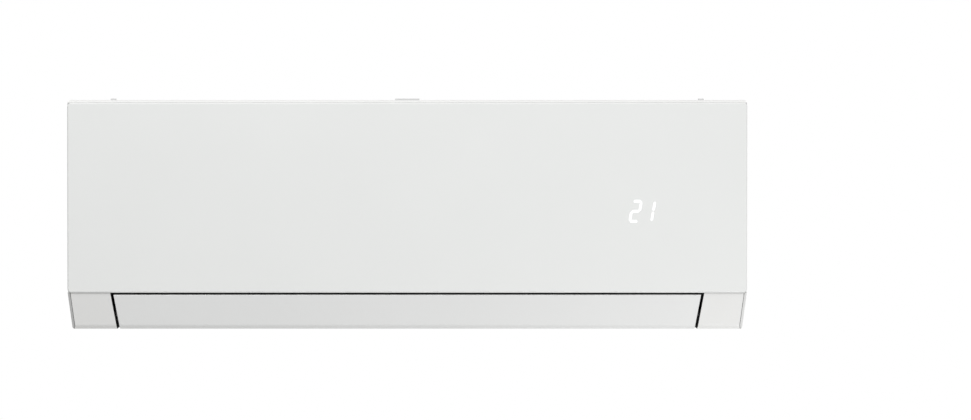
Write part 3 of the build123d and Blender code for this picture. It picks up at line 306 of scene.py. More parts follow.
def fin_aluminium():
    """Thin blue-tinted aluminium fins with press marks across them."""
    finish = Finish("fin_aluminium")
    marks = finish.noise(scale=120.0, detail=3.0, vector=finish.stretched(x=0.02))
    age = finish.noise(scale=14.0, detail=4.0)
    finish.set(
        Base_Color=finish.mix(marks * 0.5 + age * 0.5, (0.50, 0.56, 0.60), (0.78, 0.82, 0.84)),
        Metallic=0.85, Roughness=0.30 + 0.18 * age,
    )
    finish.bump(marks, strength=0.12, distance=0.2 * MM)
    return finish.material


def drawn_copper():
    """Drawn copper tube: length streaks, darker where it was heated or handled."""
    finish = Finish("drawn_copper")
    tarnish = finish.ramp(finish.noise(scale=38.0, detail=6.0, rough=0.65), low=0.42, high=0.72)
    streaks = finish.noise(scale=600.0, detail=2.0, vector=finish.stretched(x=0.05))
    bright = finish.mix(streaks, (0.76, 0.36, 0.20), (0.88, 0.47, 0.29))
    finish.set(
        Base_Color=finish.mix(tarnish * 0.7, bright, (0.33, 0.14, 0.085)), Metallic=1.0,
        Roughness=0.22 + 0.25 * tarnish,
    )
    finish.bump(streaks, strength=0.06, distance=0.1 * MM)
    return finish.material


def turned_metal(name, colour, dark, per_metre):
    """Turned metal: fine rings along X, so many to a metre, a little dull in places."""
    finish = Finish(name)
    rings = finish.noise(scale=per_metre, detail=1.0, vector=finish.stretched(x=1.0, y=0.02, z=0.02))
    dull = finish.ramp(finish.noise(scale=70.0, detail=5.0), low=0.45, high=0.75)
    finish.set(
        Base_Color=finish.mix(dull * 0.6 + rings * 0.2, colour, dark), Metallic=1.0,
        Roughness=0.2 + 0.16 * rings + 0.2 * dull,
    )
    finish.bump(rings, strength=0.1, distance=0.1 * MM)
    return finish.material


def soft_rubber():
    """Black rubber with a dusty bloom and a matt skin."""
    finish = Finish("soft_rubber")
    bloom = finish.ramp(finish.noise(scale=45.0, detail=6.0, rough=0.7), low=0.4, high=0.85)
    finish.set(
        Base_Color=finish.mix(bloom * 0.6, (0.012, 0.012, 0.013), (0.05, 0.05, 0.05)),
        Roughness=0.72 + 0.15 * bloom, Specular_IOR_Level=0.3,
    )
    finish.bump(finish.noise(scale=900.0, detail=2.0), strength=0.15, distance=0.2 * MM)
    return finish.material


def painted_can():
    """Drawn motor can in satin grey paint, worn thin in patches."""
    finish = Finish("painted_can")
    peel = finish.noise(scale=900.0, detail=2.0)
    worn = finish.ramp(finish.noise(scale=85.0, detail=6.0, rough=0.7), low=0.62, high=0.72)
    finish.set(
        Base_Color=finish.mix(worn, (0.26, 0.27, 0.28), (0.45, 0.45, 0.45)), Metallic=0.35 + 0.5 * worn,
        Roughness=0.38 + 0.08 * peel,
    )
    finish.bump(peel - 0.5 * worn, strength=0.08, distance=0.1 * MM)
    return finish.material


def net_thread():
    """Woven plastic thread of the filter nets, with a trace of dust."""
    finish = Finish("net_thread")
    dust = finish.ramp(finish.noise(scale=55.0, detail=5.0), low=0.5, high=0.8)
    finish.set(
        Base_Color=finish.mix(dust * 0.5, (0.035, 0.038, 0.042), (0.16, 0.16, 0.155)),
        Roughness=0.6 + 0.2 * dust,
    )
    finish.bump(finish.noise(scale=1800.0, detail=1.0), strength=0.2, distance=0.1 * MM)
    return finish.material


FINISHES = {}


def make_finishes(colours):
    """All materials of the unit, by the name of the record's slot that they dress."""
    FINISHES.update({
        "shell_white": moulded_plastic("shell_white", tuple(colours.shell), roughness=0.36),
        "panel_white": moulded_plastic(
            "panel_white", tuple(colours.panel), roughness=0.30, grain=0.008, cloud=0.012, coat=0.10,
        ),
        "flap_white": moulded_plastic(
            "flap_white", tuple(colours.flap), roughness=0.32, grain=0.010, cloud=0.012, coat=0.05,
        ),
        "figure_glow": lit_figure(),
        "guide_white": moulded_plastic("guide_white", (0.70, 0.70, 0.68), roughness=0.55),
        "board_green": circuit_board("board_green", tuple(colours.board)),
        "part_black": moulded_plastic(
            "part_black", (0.010, 0.010, 0.011), roughness=0.42, grain=0.05, cloud=0.2,
        ),
        "chassis_grey": moulded_plastic(
            "chassis_grey", tuple(colours.chassis), roughness=0.5, grain=0.05, cloud=0.05,
        ),
        "duct_dark": moulded_plastic(
            "duct_dark", tuple(colours.duct), roughness=0.45, grain=0.05, cloud=0.12,
        ),
        "fan_black": moulded_plastic(
            "fan_black", (0.006, 0.0065, 0.007), roughness=0.38, grain=0.03, cloud=0.15,
        ),
        "grid_grey": moulded_plastic(
            "grid_grey", tuple(colours.grid), roughness=0.5, grain=0.05, cloud=0.04,
        ),
        "clip_grey": moulded_plastic(
            "clip_grey", (0.60, 0.60, 0.60), roughness=0.45, grain=0.03, cloud=0.04,
        ),
        "filter_net": net_thread(),
        "zinc_steel": zinc_steel(),
        "fin_aluminium": fin_aluminium(),
        "copper": drawn_copper(),
        "union_brass": turned_metal("union_brass", (0.80, 0.60, 0.27), (0.40, 0.26, 0.10), per_metre=1500.0),
        "steel": turned_metal("turned_steel", (0.62, 0.62, 0.62), (0.34, 0.34, 0.35), per_metre=1800.0),
        "motor_can": painted_can(),
        "rubber_black": soft_rubber(),
    })


# ---- Mesh tools ----
SLOT_OF = {row["node"]: row["material_slot"] for row in frame["record"]["subparts"]}
BODY_OF = {node: body for body, nodes in frame["record"]["behaviour"]["bodies"].items() for node in nodes}
CREASE = 35.0  # degrees between faces past which an edge stays sharp
BOARD_EDGE, FINE_EDGE, SHEET_EDGE = 0.15 * MM, 0.2 * MM, 0.25 * MM
CRANK_EDGE, VANE_EDGE, STRAP_EDGE = 0.3 * MM, 0.35 * MM, 0.4 * MM
SAME_PLACE = 0.002 * MM
FLAT = 0.6  # degrees between faces up to which they count as one flat face


def finished_object(name, mesh, slot, crease):
    """A mesh as an object of the scene, smooth up to the crease angle, in its slot's finish."""
    if not mesh.materials:
        mesh.materials.append(FINISHES[slot])
    mesh.polygons.foreach_set("use_smooth", [True] * len(mesh.polygons))
    mesh.set_sharp_from_angle(angle=radians(crease))
    piece = bpy.data.objects.new(name, mesh)
    bpy.context.scene.collection.objects.link(piece)
    return piece


def place_piece(name, mesh, node, crease=CREASE):
    """Puts a mesh in the scene in the place of the CAD node that it stands for."""
    slot = SLOT_OF[node]
    piece = finished_object(name, mesh, slot, crease)
    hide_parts(node)
    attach(piece, BODY_OF[node])
    return piece


def add_piece(name, mesh, body, slot):
    """Puts in a mesh that adds detail and stands for no CAD node."""
    piece = finished_object(name, mesh, slot, CREASE)
    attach(piece, body)


def merged_copy(node):
    """A CAD node's mesh with its loose triangles joined and its flat faces dissolved."""
    shape = bmesh.new()
    shape.from_mesh(frame["nodes"][node].data)
    bmesh.ops.remove_doubles(shape, verts=shape.verts, dist=SAME_PLACE)
    bmesh.ops.dissolve_limit(
        shape, angle_limit=radians(FLAT), verts=shape.verts, edges=shape.edges, use_dissolve_boundaries=False,
    )
    return shape


def to_mesh(name, shape):
    """A plain mesh from a shape, which is used up."""
    mesh = bpy.data.meshes.new(name)
    shape.to_mesh(mesh)
    shape.free()
    return mesh


def absorb(whole, shape):
    """Adds a shape to the whole and uses it up."""
    part = to_mesh("part", shape)
    whole.from_mesh(part)
    bpy.data.meshes.remove(part)


def moulded(node, edge, angle=32.0, steps=2, name=None, shape=None):
    """Stands for a CAD node by its own shape, or a changed copy of it, with edges past the angle rounded."""
    mesh = to_mesh(f"{node}_moulding", shape or merged_copy(node))
    piece = place_piece(name or f"{node}_moulding", mesh, node)
    bevel = piece.modifiers.new("rounded_edges", "BEVEL")
    bevel.width = edge
    bevel.segments = steps
    bevel.limit_method = "ANGLE"
    bevel.angle_limit = radians(angle)
    weighted = piece.modifiers.new("even_shading", "WEIGHTED_NORMAL")
    weighted.keep_sharp = True
    return piece


def dress_node(node):
    """Gives a CAD node that keeps its shape its finished material."""
    target = frame["nodes"][node]
    finish = FINISHES[SLOT_OF[node]]
    if not target.material_slots:
        target.data.materials.append(finish)
    for place in target.material_slots:
        place.material = finish


def turned(profile, y, z, sides=48):
    """Shape turned about an axis along X; the profile is (x, radius) in millimetres.

    A profile that starts off the axis is closed back to its first point.
    """
    shape = bmesh.new()
    rings = []
    for x, radius in profile:
        if radius == 0.0:
            rings.append([shape.verts.new((x * MM, y * MM, z * MM))])
            continue
        circle = arc(y, z, radius, 0, 360, sides)[:-1]
        rings.append([shape.verts.new((x * MM, side_y * MM, side_z * MM)) for side_y, side_z in circle])
    if profile[0][1]:
        rings.append(rings[0])
    for first, second in zip(rings, rings[1:]):
        for i in range(sides):
            j = (i + 1) % sides
            corners = [first[i % len(first)], first[j % len(first)]]
            corners += [second[j % len(second)], second[i % len(second)]]
            unique = list(dict.fromkeys(corners))
            if len(unique) > 2:
                shape.faces.new(unique)
    bmesh.ops.recalc_face_normals(shape, faces=shape.faces)
    return shape


def tube(shape, points, radius, sides=16):
    """Adds a closed round tube along the points, in millimetres, to a shape."""
    path = [Vector(p) * MM for p in points]
    before = None
    side = None
    rings = []
    for index, point in enumerate(path):
        ahead = (path[min(index + 1, len(path) - 1)] - path[max(index - 1, 0)]).normalized()
        if side is None:
            side = ahead.orthogonal().normalized()
        else:
            side = before.rotation_difference(ahead) @ side
        before = ahead
        other = ahead.cross(side)
        rings.append([
            shape.verts.new(
                point + radius * MM * (cos(2 * pi * i / sides) * side + sin(2 * pi * i / sides) * other)
            )
            for i in range(sides)
        ])
    for first, second in zip(rings, rings[1:]):
        for i in range(sides):
            j = (i + 1) % sides
            shape.faces.new((first[i], first[j], second[j], second[i]))
    shape.faces.new(list(reversed(rings[0])))
    shape.faces.new(rings[-1])


def slab(shape, low, high, edge):
    """Adds a box between two corners, in millimetres, with its edges cut by edge."""
    low, high = Vector(low) * MM, Vector(high) * MM
    made = bmesh.ops.create_cube(shape, size=1.0)
    place = Matrix.Translation((low + high) / 2) @ Matrix.Diagonal((*(high - low), 1.0))
    bmesh.ops.transform(shape, matrix=place, verts=made["verts"])
    edges = list(dict.fromkeys(line for corner in made["verts"] for line in corner.link_edges))
    bmesh.ops.bevel(shape, geom=edges, offset=edge * MM, segments=2, profile=0.6, affect="EDGES")


def swept(section, x0, x1, shape=None):
    """Prism along X over a closed (y, z) section in millimetres."""
    shape = shape or bmesh.new()
    ends = [[shape.verts.new((x * MM, y * MM, z * MM)) for y, z in section] for x in (x0, x1)]
    count = len(section)
    made = [shape.faces.new(ends[0]), shape.faces.new(list(reversed(ends[1])))]
    for i in range(count):
        j = (i + 1) % count
        made.append(shape.faces.new((ends[0][i], ends[1][i], ends[1][j], ends[0][j])))
    bmesh.ops.recalc_face_normals(shape, faces=made)
    return shape


def arc(y, z, radius, start, end, steps):
    """Points of an arc in the (y, z) plane, angles in degrees from +Y towards +Z."""
    turns = [radians(start + (end - start) * i / steps) for i in range(steps + 1)]
    return [(y + radius * cos(turn), z + radius * sin(turn)) for turn in turns]


def rounded_path(points, radii, steps=10):
    """A bent line through 3-D points whose inner corners are arcs of the given radii."""
    corners = [Vector(p) for p in points]
    path = [corners[0]]
    for index, radius in enumerate(radii, start=1):
        corner = corners[index]
        back = (corners[index - 1] - corner).normalized()
        ahead = (corners[index + 1] - corner).normalized()
        half = back.angle(ahead) / 2
        middle = corner + (back + ahead).normalized() * radius / sin(half)
        first = corner + back * radius / (sin(half) / cos(half))
        last = corner + ahead * radius / (sin(half) / cos(half))
        start, end = first - middle, last - middle
        for step in range(steps + 1):
            path.append(middle + start.slerp(end, step / steps) * radius / start.length)
    path.append(corners[-1])
    return path


# ---- Geometry Nodes ----
RANDOM_LOW, RANDOM_HIGH = 2, 3  # numbers of a Random Value node's inputs for plain values
RANDOM_VALUE = 1  # number of its output


class Repeater:
    """A Geometry Nodes tree built from named inputs, run once into a plain mesh."""

    KINDS = {
        int: "NodeSocketInt", float: "NodeSocketFloat", tuple: "NodeSocketVector",
        bpy.types.Material: "NodeSocketMaterial",
    }

    def __init__(self, name, **inputs):
        self.tree = bpy.data.node_groups.new(name, "GeometryNodeTree")
        self.values = {label.replace("_", " "): value for label, value in inputs.items()}
        face = self.tree.interface
        face.new_socket(name="Geometry", in_out="INPUT", socket_type="NodeSocketGeometry")
        for label, value in self.values.items():
            face.new_socket(name=label, in_out="INPUT", socket_type=self.KINDS[type(value)])
        face.new_socket(name="Geometry", in_out="OUTPUT", socket_type="NodeSocketGeometry")
        self.source = self.tree.nodes.new("NodeGroupInput")
        self.result = self.tree.nodes.new("NodeGroupOutput")

    def given(self, label):
        """The link of one of the tree's named inputs."""
        return self.source.outputs[label.replace("_", " ")]

    def add(self, kind, settings=None, inputs=()):
        """Adds a node; inputs are (socket name or number, value or link)."""
        node = self.tree.nodes.new(kind)
        for name, value in (settings or {}).items():
            setattr(node, name, value)
        for place, value in inputs:
            socket = node.inputs[place]
            if isinstance(value, bpy.types.NodeSocket):
                self.tree.links.new(value, socket)
            else:
                socket.default_value = value
        return node

    def math(self, operation, left, right=0.0):
        """A Math node on two values or links; some operations need only the first."""
        return self.add("ShaderNodeMath", {"operation": operation}, [(0, left), (1, right)]).outputs[0]

    def random(self, low, high, more=()):
        """A value between low and high for each point, drawn from the tree's seed."""
        sockets = [(RANDOM_LOW, low), (RANDOM_HIGH, high), *more, ("Seed", self.given("Seed"))]
        return self.add("FunctionNodeRandomValue", {"data_type": "FLOAT"}, sockets).outputs[RANDOM_VALUE]

    def along(self, axis, value):
        """A vector with the value on one axis."""
        return self.add("ShaderNodeCombineXYZ", {}, [(axis, value)]).outputs["Vector"]

    def copies(self, points, rotation=None):
        """The tree's own shape as an instance on each point."""
        sockets = [("Points", points), ("Instance", self.given("Geometry"))]
        if rotation:
            sockets.append(("Rotation", rotation))
        return self.add("GeometryNodeInstanceOnPoints", {}, sockets).outputs["Instances"]

    def end(self, geometry):
        """Realises the instances, sets the material and closes the tree."""
        real = self.add("GeometryNodeRealizeInstances", {}, [("Geometry", geometry)])
        dressed = self.add(
            "GeometryNodeSetMaterial", {},
            [("Geometry", real.outputs["Geometry"]), ("Material", self.given("Material"))],
        )
        self.tree.links.new(dressed.outputs["Geometry"], self.result.inputs["Geometry"])

    def run(self, name, shape):
        """The plain mesh that the tree makes of a shape."""
        carrier = bpy.data.objects.new(f"{name}_carrier", to_mesh(f"{name}_seed", shape))
        bpy.context.scene.collection.objects.link(carrier)
        modifier = carrier.modifiers.new("repeat", "NODES")
        modifier.node_group = self.tree
        for item in self.tree.interface.items_tree:
            if item.in_out == "INPUT" and item.name in self.values:
                modifier[item.identifier] = self.values[item.name]
        bpy.context.view_layer.update()
        graph = bpy.context.evaluated_depsgraph_get()
        mesh = bpy.data.meshes.new_from_object(carrier.evaluated_get(graph))
        mesh.name = name
        seed = carrier.data
        bpy.data.objects.remove(carrier)
        bpy.data.meshes.remove(seed)
        if not mesh.polygons:
            raise RuntimeError(f"{name} came out empty")
        return mesh


def row_of(name, shape, material, count, step, jitter=0.0):
    """Repeats a shape along a line, each copy up to jitter metres off its place along X."""
    tree = Repeater(f"{name}_row", Material=material, Count=count, Step=tuple(step), Jitter=jitter, Seed=7)
    line = tree.add(
        "GeometryNodeMeshLine", {"mode": "OFFSET"},
        [("Count", tree.given("Count")), ("Offset", tree.given("Step"))],
    )
    back = tree.math("MULTIPLY", tree.given("Jitter"), -1.0)
    wander = tree.along("X", tree.random(back, tree.given("Jitter")))
    moved = tree.add(
        "GeometryNodeSetPosition", {}, [("Geometry", line.outputs["Mesh"]), ("Offset", wander)],
    )
    tree.end(tree.copies(moved.outputs["Geometry"]))
    return tree.run(name, shape)


def join_meshes(name, meshes):
    """One mesh from several that share a material."""
    shape = bmesh.new()
    for mesh in meshes:
        shape.from_mesh(mesh)
    joined = to_mesh(name, shape)
    for material in meshes[0].materials:
        joined.materials.append(material)
    for mesh in meshes:
        bpy.data.meshes.remove(mesh)
    return joined


# ---- Front ----
FRONT_Y = CAD_BOX[0][1]
SOLID_FIGURES = ((286.5 * MM, 290.4 * MM), (307.5 * MM, 307.7 * MM))  # centre in the solids, centre shown
SOLID_HIGH, FIGURE_HIGH = 5.0 * MM, 4.6 * MM  # middle of the figures in the solids, and shown
SOLID_LEAN, FIGURE_LEAN = 0.12, 0.18  # lean to the right of each unit of height, likewise
FIGURE_NARROWING = 0.90
FIGURES_X = (SOLID_FIGURES[0][0] + SOLID_FIGURES[1][0]) / 2
FIGURES_HALF_WIDE = 21.0 * MM
FIGURES_HALF_HIGH = 16.0 * MM
PANEL_T = 2.6 * MM  # the panel's wall, with a little to spare
PANEL_TOP_GROWTH = 0.9 * MM
PANEL_TOP_BAND = 6.0 * MM  # height of the strip along the top edge that grows
PANEL_SKIN = 4.5 * MM  # depth of what grows with it
PANEL_LOW_GROWTH = 0.22 * MM
PANEL_LOW_BAND = 0.1 * MM
SAME_LEVEL = 0.001 * MM


def in_figures(place):
    """Whether a corner of the panel belongs to the windows of the lit figures."""
    return (
        abs(place.x - FIGURES_X) < FIGURES_HALF_WIDE and abs(place.z - SOLID_HIGH) < FIGURES_HALF_HIGH
        and place.y < FRONT_Y + PANEL_T
    )


def set_figure(place):
    """Moves a corner of a lit figure to where the figure stands, with its lean."""
    solid, shown = min(SOLID_FIGURES, key=lambda pair: abs(place.x - pair[0]))
    up = place.z - SOLID_HIGH
    across = (place.x - solid - SOLID_LEAN * up) * FIGURE_NARROWING
    return Vector((shown + across + FIGURE_LEAN * up, place.y, FIGURE_HIGH + up))


def refill(shape, corners):
    """Moves the corners of holes in flat faces and fills those faces round them again."""
    for level in {round(corner.co.y, 6) for corner in corners}:
        touched = dict.fromkeys(face for corner in corners for face in corner.link_faces)
        flat = [
            face for face in touched if all(abs(corner.co.y - level) < SAME_LEVEL for corner in face.verts)
        ]
        edges = dict.fromkeys(edge for face in flat for edge in face.edges)
        rim = [edge for edge in edges if any(face not in flat for face in edge.link_faces)]
        inner = [edge for edge in edges if edge not in rim]
        bmesh.ops.delete(shape, geom=flat, context="FACES_ONLY")
        bmesh.ops.delete(shape, geom=inner, context="EDGES")
        for corner in corners:
            if abs(corner.co.y - level) < SAME_LEVEL:
                corner.co = set_figure(corner.co)
        bmesh.ops.triangle_fill(shape, use_beauty=True, edges=rim, normal=(0.0, -1.0, 0.0))


class UNIT_OT_front_panel(bpy.types.Operator):
    """Lift-up front panel with its rims, ribs, hinge arms and hooks."""

    bl_idname = "unit.front_panel"
    bl_label = "Front panel"

    def execute(self, context):
        shape = merged_copy("front_panel")
        high = max(corner.co.z for corner in shape.verts)
        low = min(corner.co.z for corner in shape.verts)
        for corner in shape.verts:
            if corner.co.z > high - PANEL_TOP_BAND and corner.co.y < FRONT_Y + PANEL_SKIN:
                corner.co.z += PANEL_TOP_GROWTH * (1 - (high - corner.co.z) / PANEL_TOP_BAND)
            elif corner.co.z < low + PANEL_LOW_BAND:
                corner.co.z -= PANEL_LOW_GROWTH
        refill(shape, [corner for corner in shape.verts if in_figures(corner.co)])
        moulded("front_panel", context.scene.unit_sizes.panel_edge, angle=20.0, steps=3, shape=shape)
        return {"FINISHED"}


# Bounds of the outlet, inside which the white casing's faces are given painted shade
OUTLET_TOP = -99.5 * MM
OUTLET_FRONT = -200.0 * MM
OUTLET_HALF = 380.0 * MM
FACES_DOWN = -0.9  # upward part of a normal, below which a face looks down
BLOCK_BEVEL_FACING = Vector((0.892, -0.396, -0.219))  # of the right block; the left one mirrors it
ALONG = 0.999  # how nearly a normal has to follow it
BLOCK_TOP_Y, BLOCK_TOP_Z = -206.8 * MM, -99.3 * MM  # the block's front, at its top
BLOCK_LEAN = 0.291  # how far the front runs back for each unit down
SHADE_LINE_REACH = 5.0 * MM  # how far behind the front the bevel's inner edge can lie
SHADE_LINE_R = 0.28  # radius of the painted shade lines, in millimetres, as tube() takes it


def block_corner_line(shape, side):
    """Points in millimetres down the inner edge of an end block's bevel; side is -1 for the left."""
    facing = Vector((side * BLOCK_BEVEL_FACING.x, BLOCK_BEVEL_FACING.y, BLOCK_BEVEL_FACING.z))
    corners = dict.fromkeys(
        corner for face in shape.faces if face.normal.dot(facing) > ALONG
        for corner in face.verts
        if corner.co.y < BLOCK_TOP_Y + BLOCK_LEAN * (BLOCK_TOP_Z - corner.co.z) + SHADE_LINE_REACH
    )
    return [corner.co / MM for corner in sorted(corners, key=lambda corner: -corner.co.z)]


class UNIT_OT_casing(bpy.types.Operator):
    """White casing with its end blocks and snap clips; its faces inside the outlet are painted shade in the
    dark duct finish, and thin dark lines of painted shade run down the end blocks' bevels.
    """

    bl_idname = "unit.casing"
    bl_label = "Casing and clips"

    def execute(self, context):
        edge = context.scene.unit_sizes.moulded_edge
        casing = moulded("front_casing", edge)
        # Painted shade: inside the outlet, the casing's faces that don't face down take the dark duct finish
        # in place of the white
        casing.data.materials.append(FINISHES["duct_dark"])
        for face in casing.data.polygons:
            place = face.center
            if place.z < OUTLET_TOP and place.y > OUTLET_FRONT and abs(place.x) < OUTLET_HALF:
                face.material_index = 0 if face.normal.z < FACES_DOWN else 1
        # Painted shade: thin dark lines down the inner edges of the end blocks' bevels, where the rounded
        # edge falls into shade
        lines = bmesh.new()
        plain = merged_copy("front_casing")
        for side in (-1, 1):
            tube(lines, block_corner_line(plain, side), SHADE_LINE_R, sides=8)
        plain.free()
        lines = to_mesh("block_edge_shade_lines", lines)
        add_piece("block_edge_shade_lines", lines, BODY_OF["front_casing"], "duct_dark")
        clips = moulded("casing_clips", edge)
        clips.data.materials[0] = FINISHES["clip_grey"]
        moulded("wiring_cover", edge)
        return {"FINISHED"}


FLAP_END = 366.0 * MM  # past it from the middle, a corner belongs to the flap's slanted end
FLAP_END_TRIM = 0.4 * MM
FLAP_TOP = -104.5 * MM  # above it, a corner belongs to the flap's top edge
FLAP_TOP_TRIM = 0.3 * MM


class UNIT_OT_flap(bpy.types.Operator):
    """Outlet flap with its arms, and the hangers that carry it."""

    bl_idname = "unit.flap"
    bl_label = "Outlet flap"

    def execute(self, context):
        edge = context.scene.unit_sizes.moulded_edge
        blade = merged_copy("flap")
        for corner in blade.verts:
            if abs(corner.co.x) > FLAP_END:
                corner.co.x -= FLAP_END_TRIM if corner.co.x > 0 else -FLAP_END_TRIM
            if corner.co.z > FLAP_TOP:
                corner.co.z -= FLAP_TOP_TRIM
        moulded("flap", edge, shape=blade)
        for node in ("flap_arms", "flap_hangers"):
            moulded(node, edge)
        return {"FINISHED"}


class UNIT_OT_display(bpy.types.Operator):
    """Lit figures with the light guide, board and plug behind them."""

    bl_idname = "unit.display"
    bl_label = "Display"

    def execute(self, context):
        figures = merged_copy("display_segments")
        for corner in figures.verts:
            corner.co = set_figure(corner.co)
        place_piece("display_segments_lit", to_mesh("display_segments_lit", figures), "display_segments")
        for node in ("display_guide", "display_board", "display_plug"):
            moulded(node, FINE_EDGE)
        return {"FINISHED"}


# ---- Coil ----
COIL_LEFT, COIL_RIGHT = -376.0, 262.0
COIL_DEPTH = 26.0
PLATE_T = 1.2
TUBE_R = 3.5
BEND_WALL = 0.15  # how much thinner a return bend is than the tube that it enters
BEND_OUT = 2.0  # straight part of a return bend
COIL_RUNS = {  # start and end of each slab's middle line as (y, z), and its number of tubes
    "fin_pack_lower": ((-167.0, 14.0), (-167.0, -60.0), 4),
    "fin_pack_upper": ((-106.0, 116.0), (-167.0, 26.0), 5),
    "fin_pack_rear": ((-80.0, 116.0), (-36.0, 38.0), 4),
}
PIPED_RUN = "fin_pack_rear"
FIN_T = 0.14
FIN_CLIP = 1.2
FIN_START = 0.4  # first fin's distance from the left end plate
FIN_JITTER = 0.12 * MM


def fin_blank(start, end, x):
    """One pressed fin with clipped corners, as wide as its slab of the coil."""
    first, last = Vector(start), Vector(end)
    run = (last - first).normalized()
    across = Vector((-run.y, run.x))
    corners = []
    for point, along, side in ((first, run, across), (last, -run, -across)):
        edge, inset = side * COIL_DEPTH / 2, side * FIN_CLIP
        corners += [point + edge + along * FIN_CLIP, point + edge - inset]
        corners += [point - edge + inset, point - edge + along * FIN_CLIP]
    return swept([(c.x, c.y) for c in corners], x, x + FIN_T)


def tube_at(name, number):
    """(y, z) of a coil tube, counted from its slab's start."""
    start, end, count = COIL_RUNS[name]
    share = (number + 0.5) / count
    return start[0] + share * (end[0] - start[0]), start[1] + share * (end[1] - start[1])


class UNIT_OT_fins(bpy.types.Operator):
    """Three packs of thin aluminium fins with their copper tubes."""

    bl_idname = "unit.fins"
    bl_label = "Coil fins"

    def execute(self, context):
        pitch = context.scene.unit_sizes.fin_pitch
        count = int((COIL_RIGHT - COIL_LEFT) * MM / pitch)
        for name, (start, end, tubes) in COIL_RUNS.items():
            blank = fin_blank(start, end, COIL_LEFT + FIN_START)
            step = (pitch, 0.0, 0.0)
            fins = row_of(f"{name}_fins", blank, FINISHES["fin_aluminium"], count, step, FIN_JITTER)
            place_piece(f"{name}_fins", fins, name)
            shape = bmesh.new()
            for number in range(tubes):
                y, z = tube_at(name, number)
                tube(shape, [(COIL_LEFT, y, z), (COIL_RIGHT, y, z)], TUBE_R, sides=14)
            add_piece(f"{name}_tubes", to_mesh(f"{name}_tubes", shape), "chassis", "copper")
        return {"FINISHED"}


def bend_points(name, number, x, outward):
    """Line of a return bend: out of one tube, half round, and into the next."""
    first, second = Vector(tube_at(name, number)), Vector(tube_at(name, number + 1))
    middle, half = (first + second) / 2, (second - first) / 2
    steps = 16
    points = [(x, *first)]
    for step in range(steps + 1):
        turn = radians(-90 + 180 * step / steps)
        reach = BEND_OUT + half.length * cos(turn)
        points.append((x + outward * reach, *(middle + half * sin(turn))))
    points.append((x, *second))
    return points


def collar(x, outward, y, z):
    """Brazed collar round a tube where it leaves the end plate."""
    return turned([
        (x, TUBE_R - 0.6), (x, TUBE_R + 1.1), (x + outward * 0.8, TUBE_R + 0.7),
        (x + outward * 1.6, TUBE_R - 0.2),
    ], y, z, 20)


class UNIT_OT_bends(bpy.types.Operator):
    """Return bends with their brazed collars, and the coil's end plates."""

    bl_idname = "unit.bends"
    bl_label = "Return bends and end plates"

    def execute(self, context):
        shape = bmesh.new()
        collars = bmesh.new()
        left, right = COIL_LEFT - PLATE_T, COIL_RIGHT + PLATE_T
        for name, (_, _, tubes) in COIL_RUNS.items():
            for number in range(tubes - 1):
                if number % 2 == 0:
                    ends = (left, -1)
                elif name != PIPED_RUN:
                    ends = (right, 1)
                else:
                    continue
                tube(shape, bend_points(name, number, *ends), TUBE_R - BEND_WALL)
                for index in (number, number + 1):
                    absorb(collars, collar(*ends, *tube_at(name, index)))
        place_piece("return_bends", to_mesh("return_bends", shape), "hairpin_bends")
        add_piece("brazed_collars", to_mesh("brazed_collars", collars), "chassis", "union_brass")
        moulded("coil_end_plates", SHEET_EDGE, name="coil_end_plates_dressed")
        return {"FINISHED"}


# ---- Pipes ----
THREAD_PITCH, THREAD_DEEP = 1.4, 0.9
THREAD_START, THREAD_LONG = 9.0, 17.0  # from the pipe's end, inside the hexagon
HEXAGON_LONG, HEXAGON_EDGE = 10.0, 0.35 * MM
PIPES = {  # coil tube it starts from, where it turns down, its open end, its bends and its union
    "liquid": dict(
        tube=2, down_x=281.0, end=(-10.0, -26.0, -84.0), bends=(9, 10),
        radius=3.175, thread=5.56, hexagon=8.5,
    ),
    "gas": dict(
        tube=1, down_x=291.5, end=(-40.0, -28.0, -112.0), bends=(14, 26),
        radius=4.76, thread=7.94, hexagon=11.0,
    ),
}


def thread(x0, x1, radius, y, z):
    """Male flare thread along X as a run of crests and roots with a chamfered start."""
    profile = [(x1, 0.0), (x1, radius - THREAD_DEEP - 0.2)]
    for turn in range(int((x0 - x1) / THREAD_PITCH)):
        base = x1 + THREAD_PITCH * turn
        profile += [(base + 0.25 * THREAD_PITCH, radius - THREAD_DEEP), (base + 0.75 * THREAD_PITCH, radius)]
    profile += [(x0, radius - THREAD_DEEP), (x0, 0.0)]
    return turned(profile, y, z, 40)


class UNIT_OT_pipes(bpy.types.Operator):
    """Copper liquid and gas pipes with their flare unions."""

    bl_idname = "unit.pipes"
    bl_label = "Pipes and unions"

    def execute(self, context):
        start = COIL_RIGHT + PLATE_T
        for name, pipe in PIPES.items():
            y, z = tube_at(PIPED_RUN, pipe["tube"])
            end_x, end_y, end_z = pipe["end"]
            corners = [(start, y, z), (pipe["down_x"], y, z), (pipe["down_x"], end_y, end_z), pipe["end"]]
            shape = bmesh.new()
            tube(shape, rounded_path(corners, pipe["bends"]), pipe["radius"], sides=20)
            place_piece(f"{name}_pipe_drawn", to_mesh(f"{name}_pipe_drawn", shape), f"{name}_pipe")
            root = end_x - THREAD_START
            union = thread(root, root - THREAD_LONG, pipe["thread"], end_y, end_z)
            swept(arc(end_y, end_z, pipe["hexagon"], 0, 360, 6)[:-1], end_x - HEXAGON_LONG, end_x, union)
            union = to_mesh(f"{name}_union_turned", union)
            piece = place_piece(f"{name}_union_turned", union, f"{name}_union")
            edge = piece.modifiers.new("broken_edges", "BEVEL")
            edge.width = HEXAGON_EDGE
            edge.segments = 2
            edge.limit_method = "ANGLE"
            edge.angle_limit = radians(50)
        return {"FINISHED"}


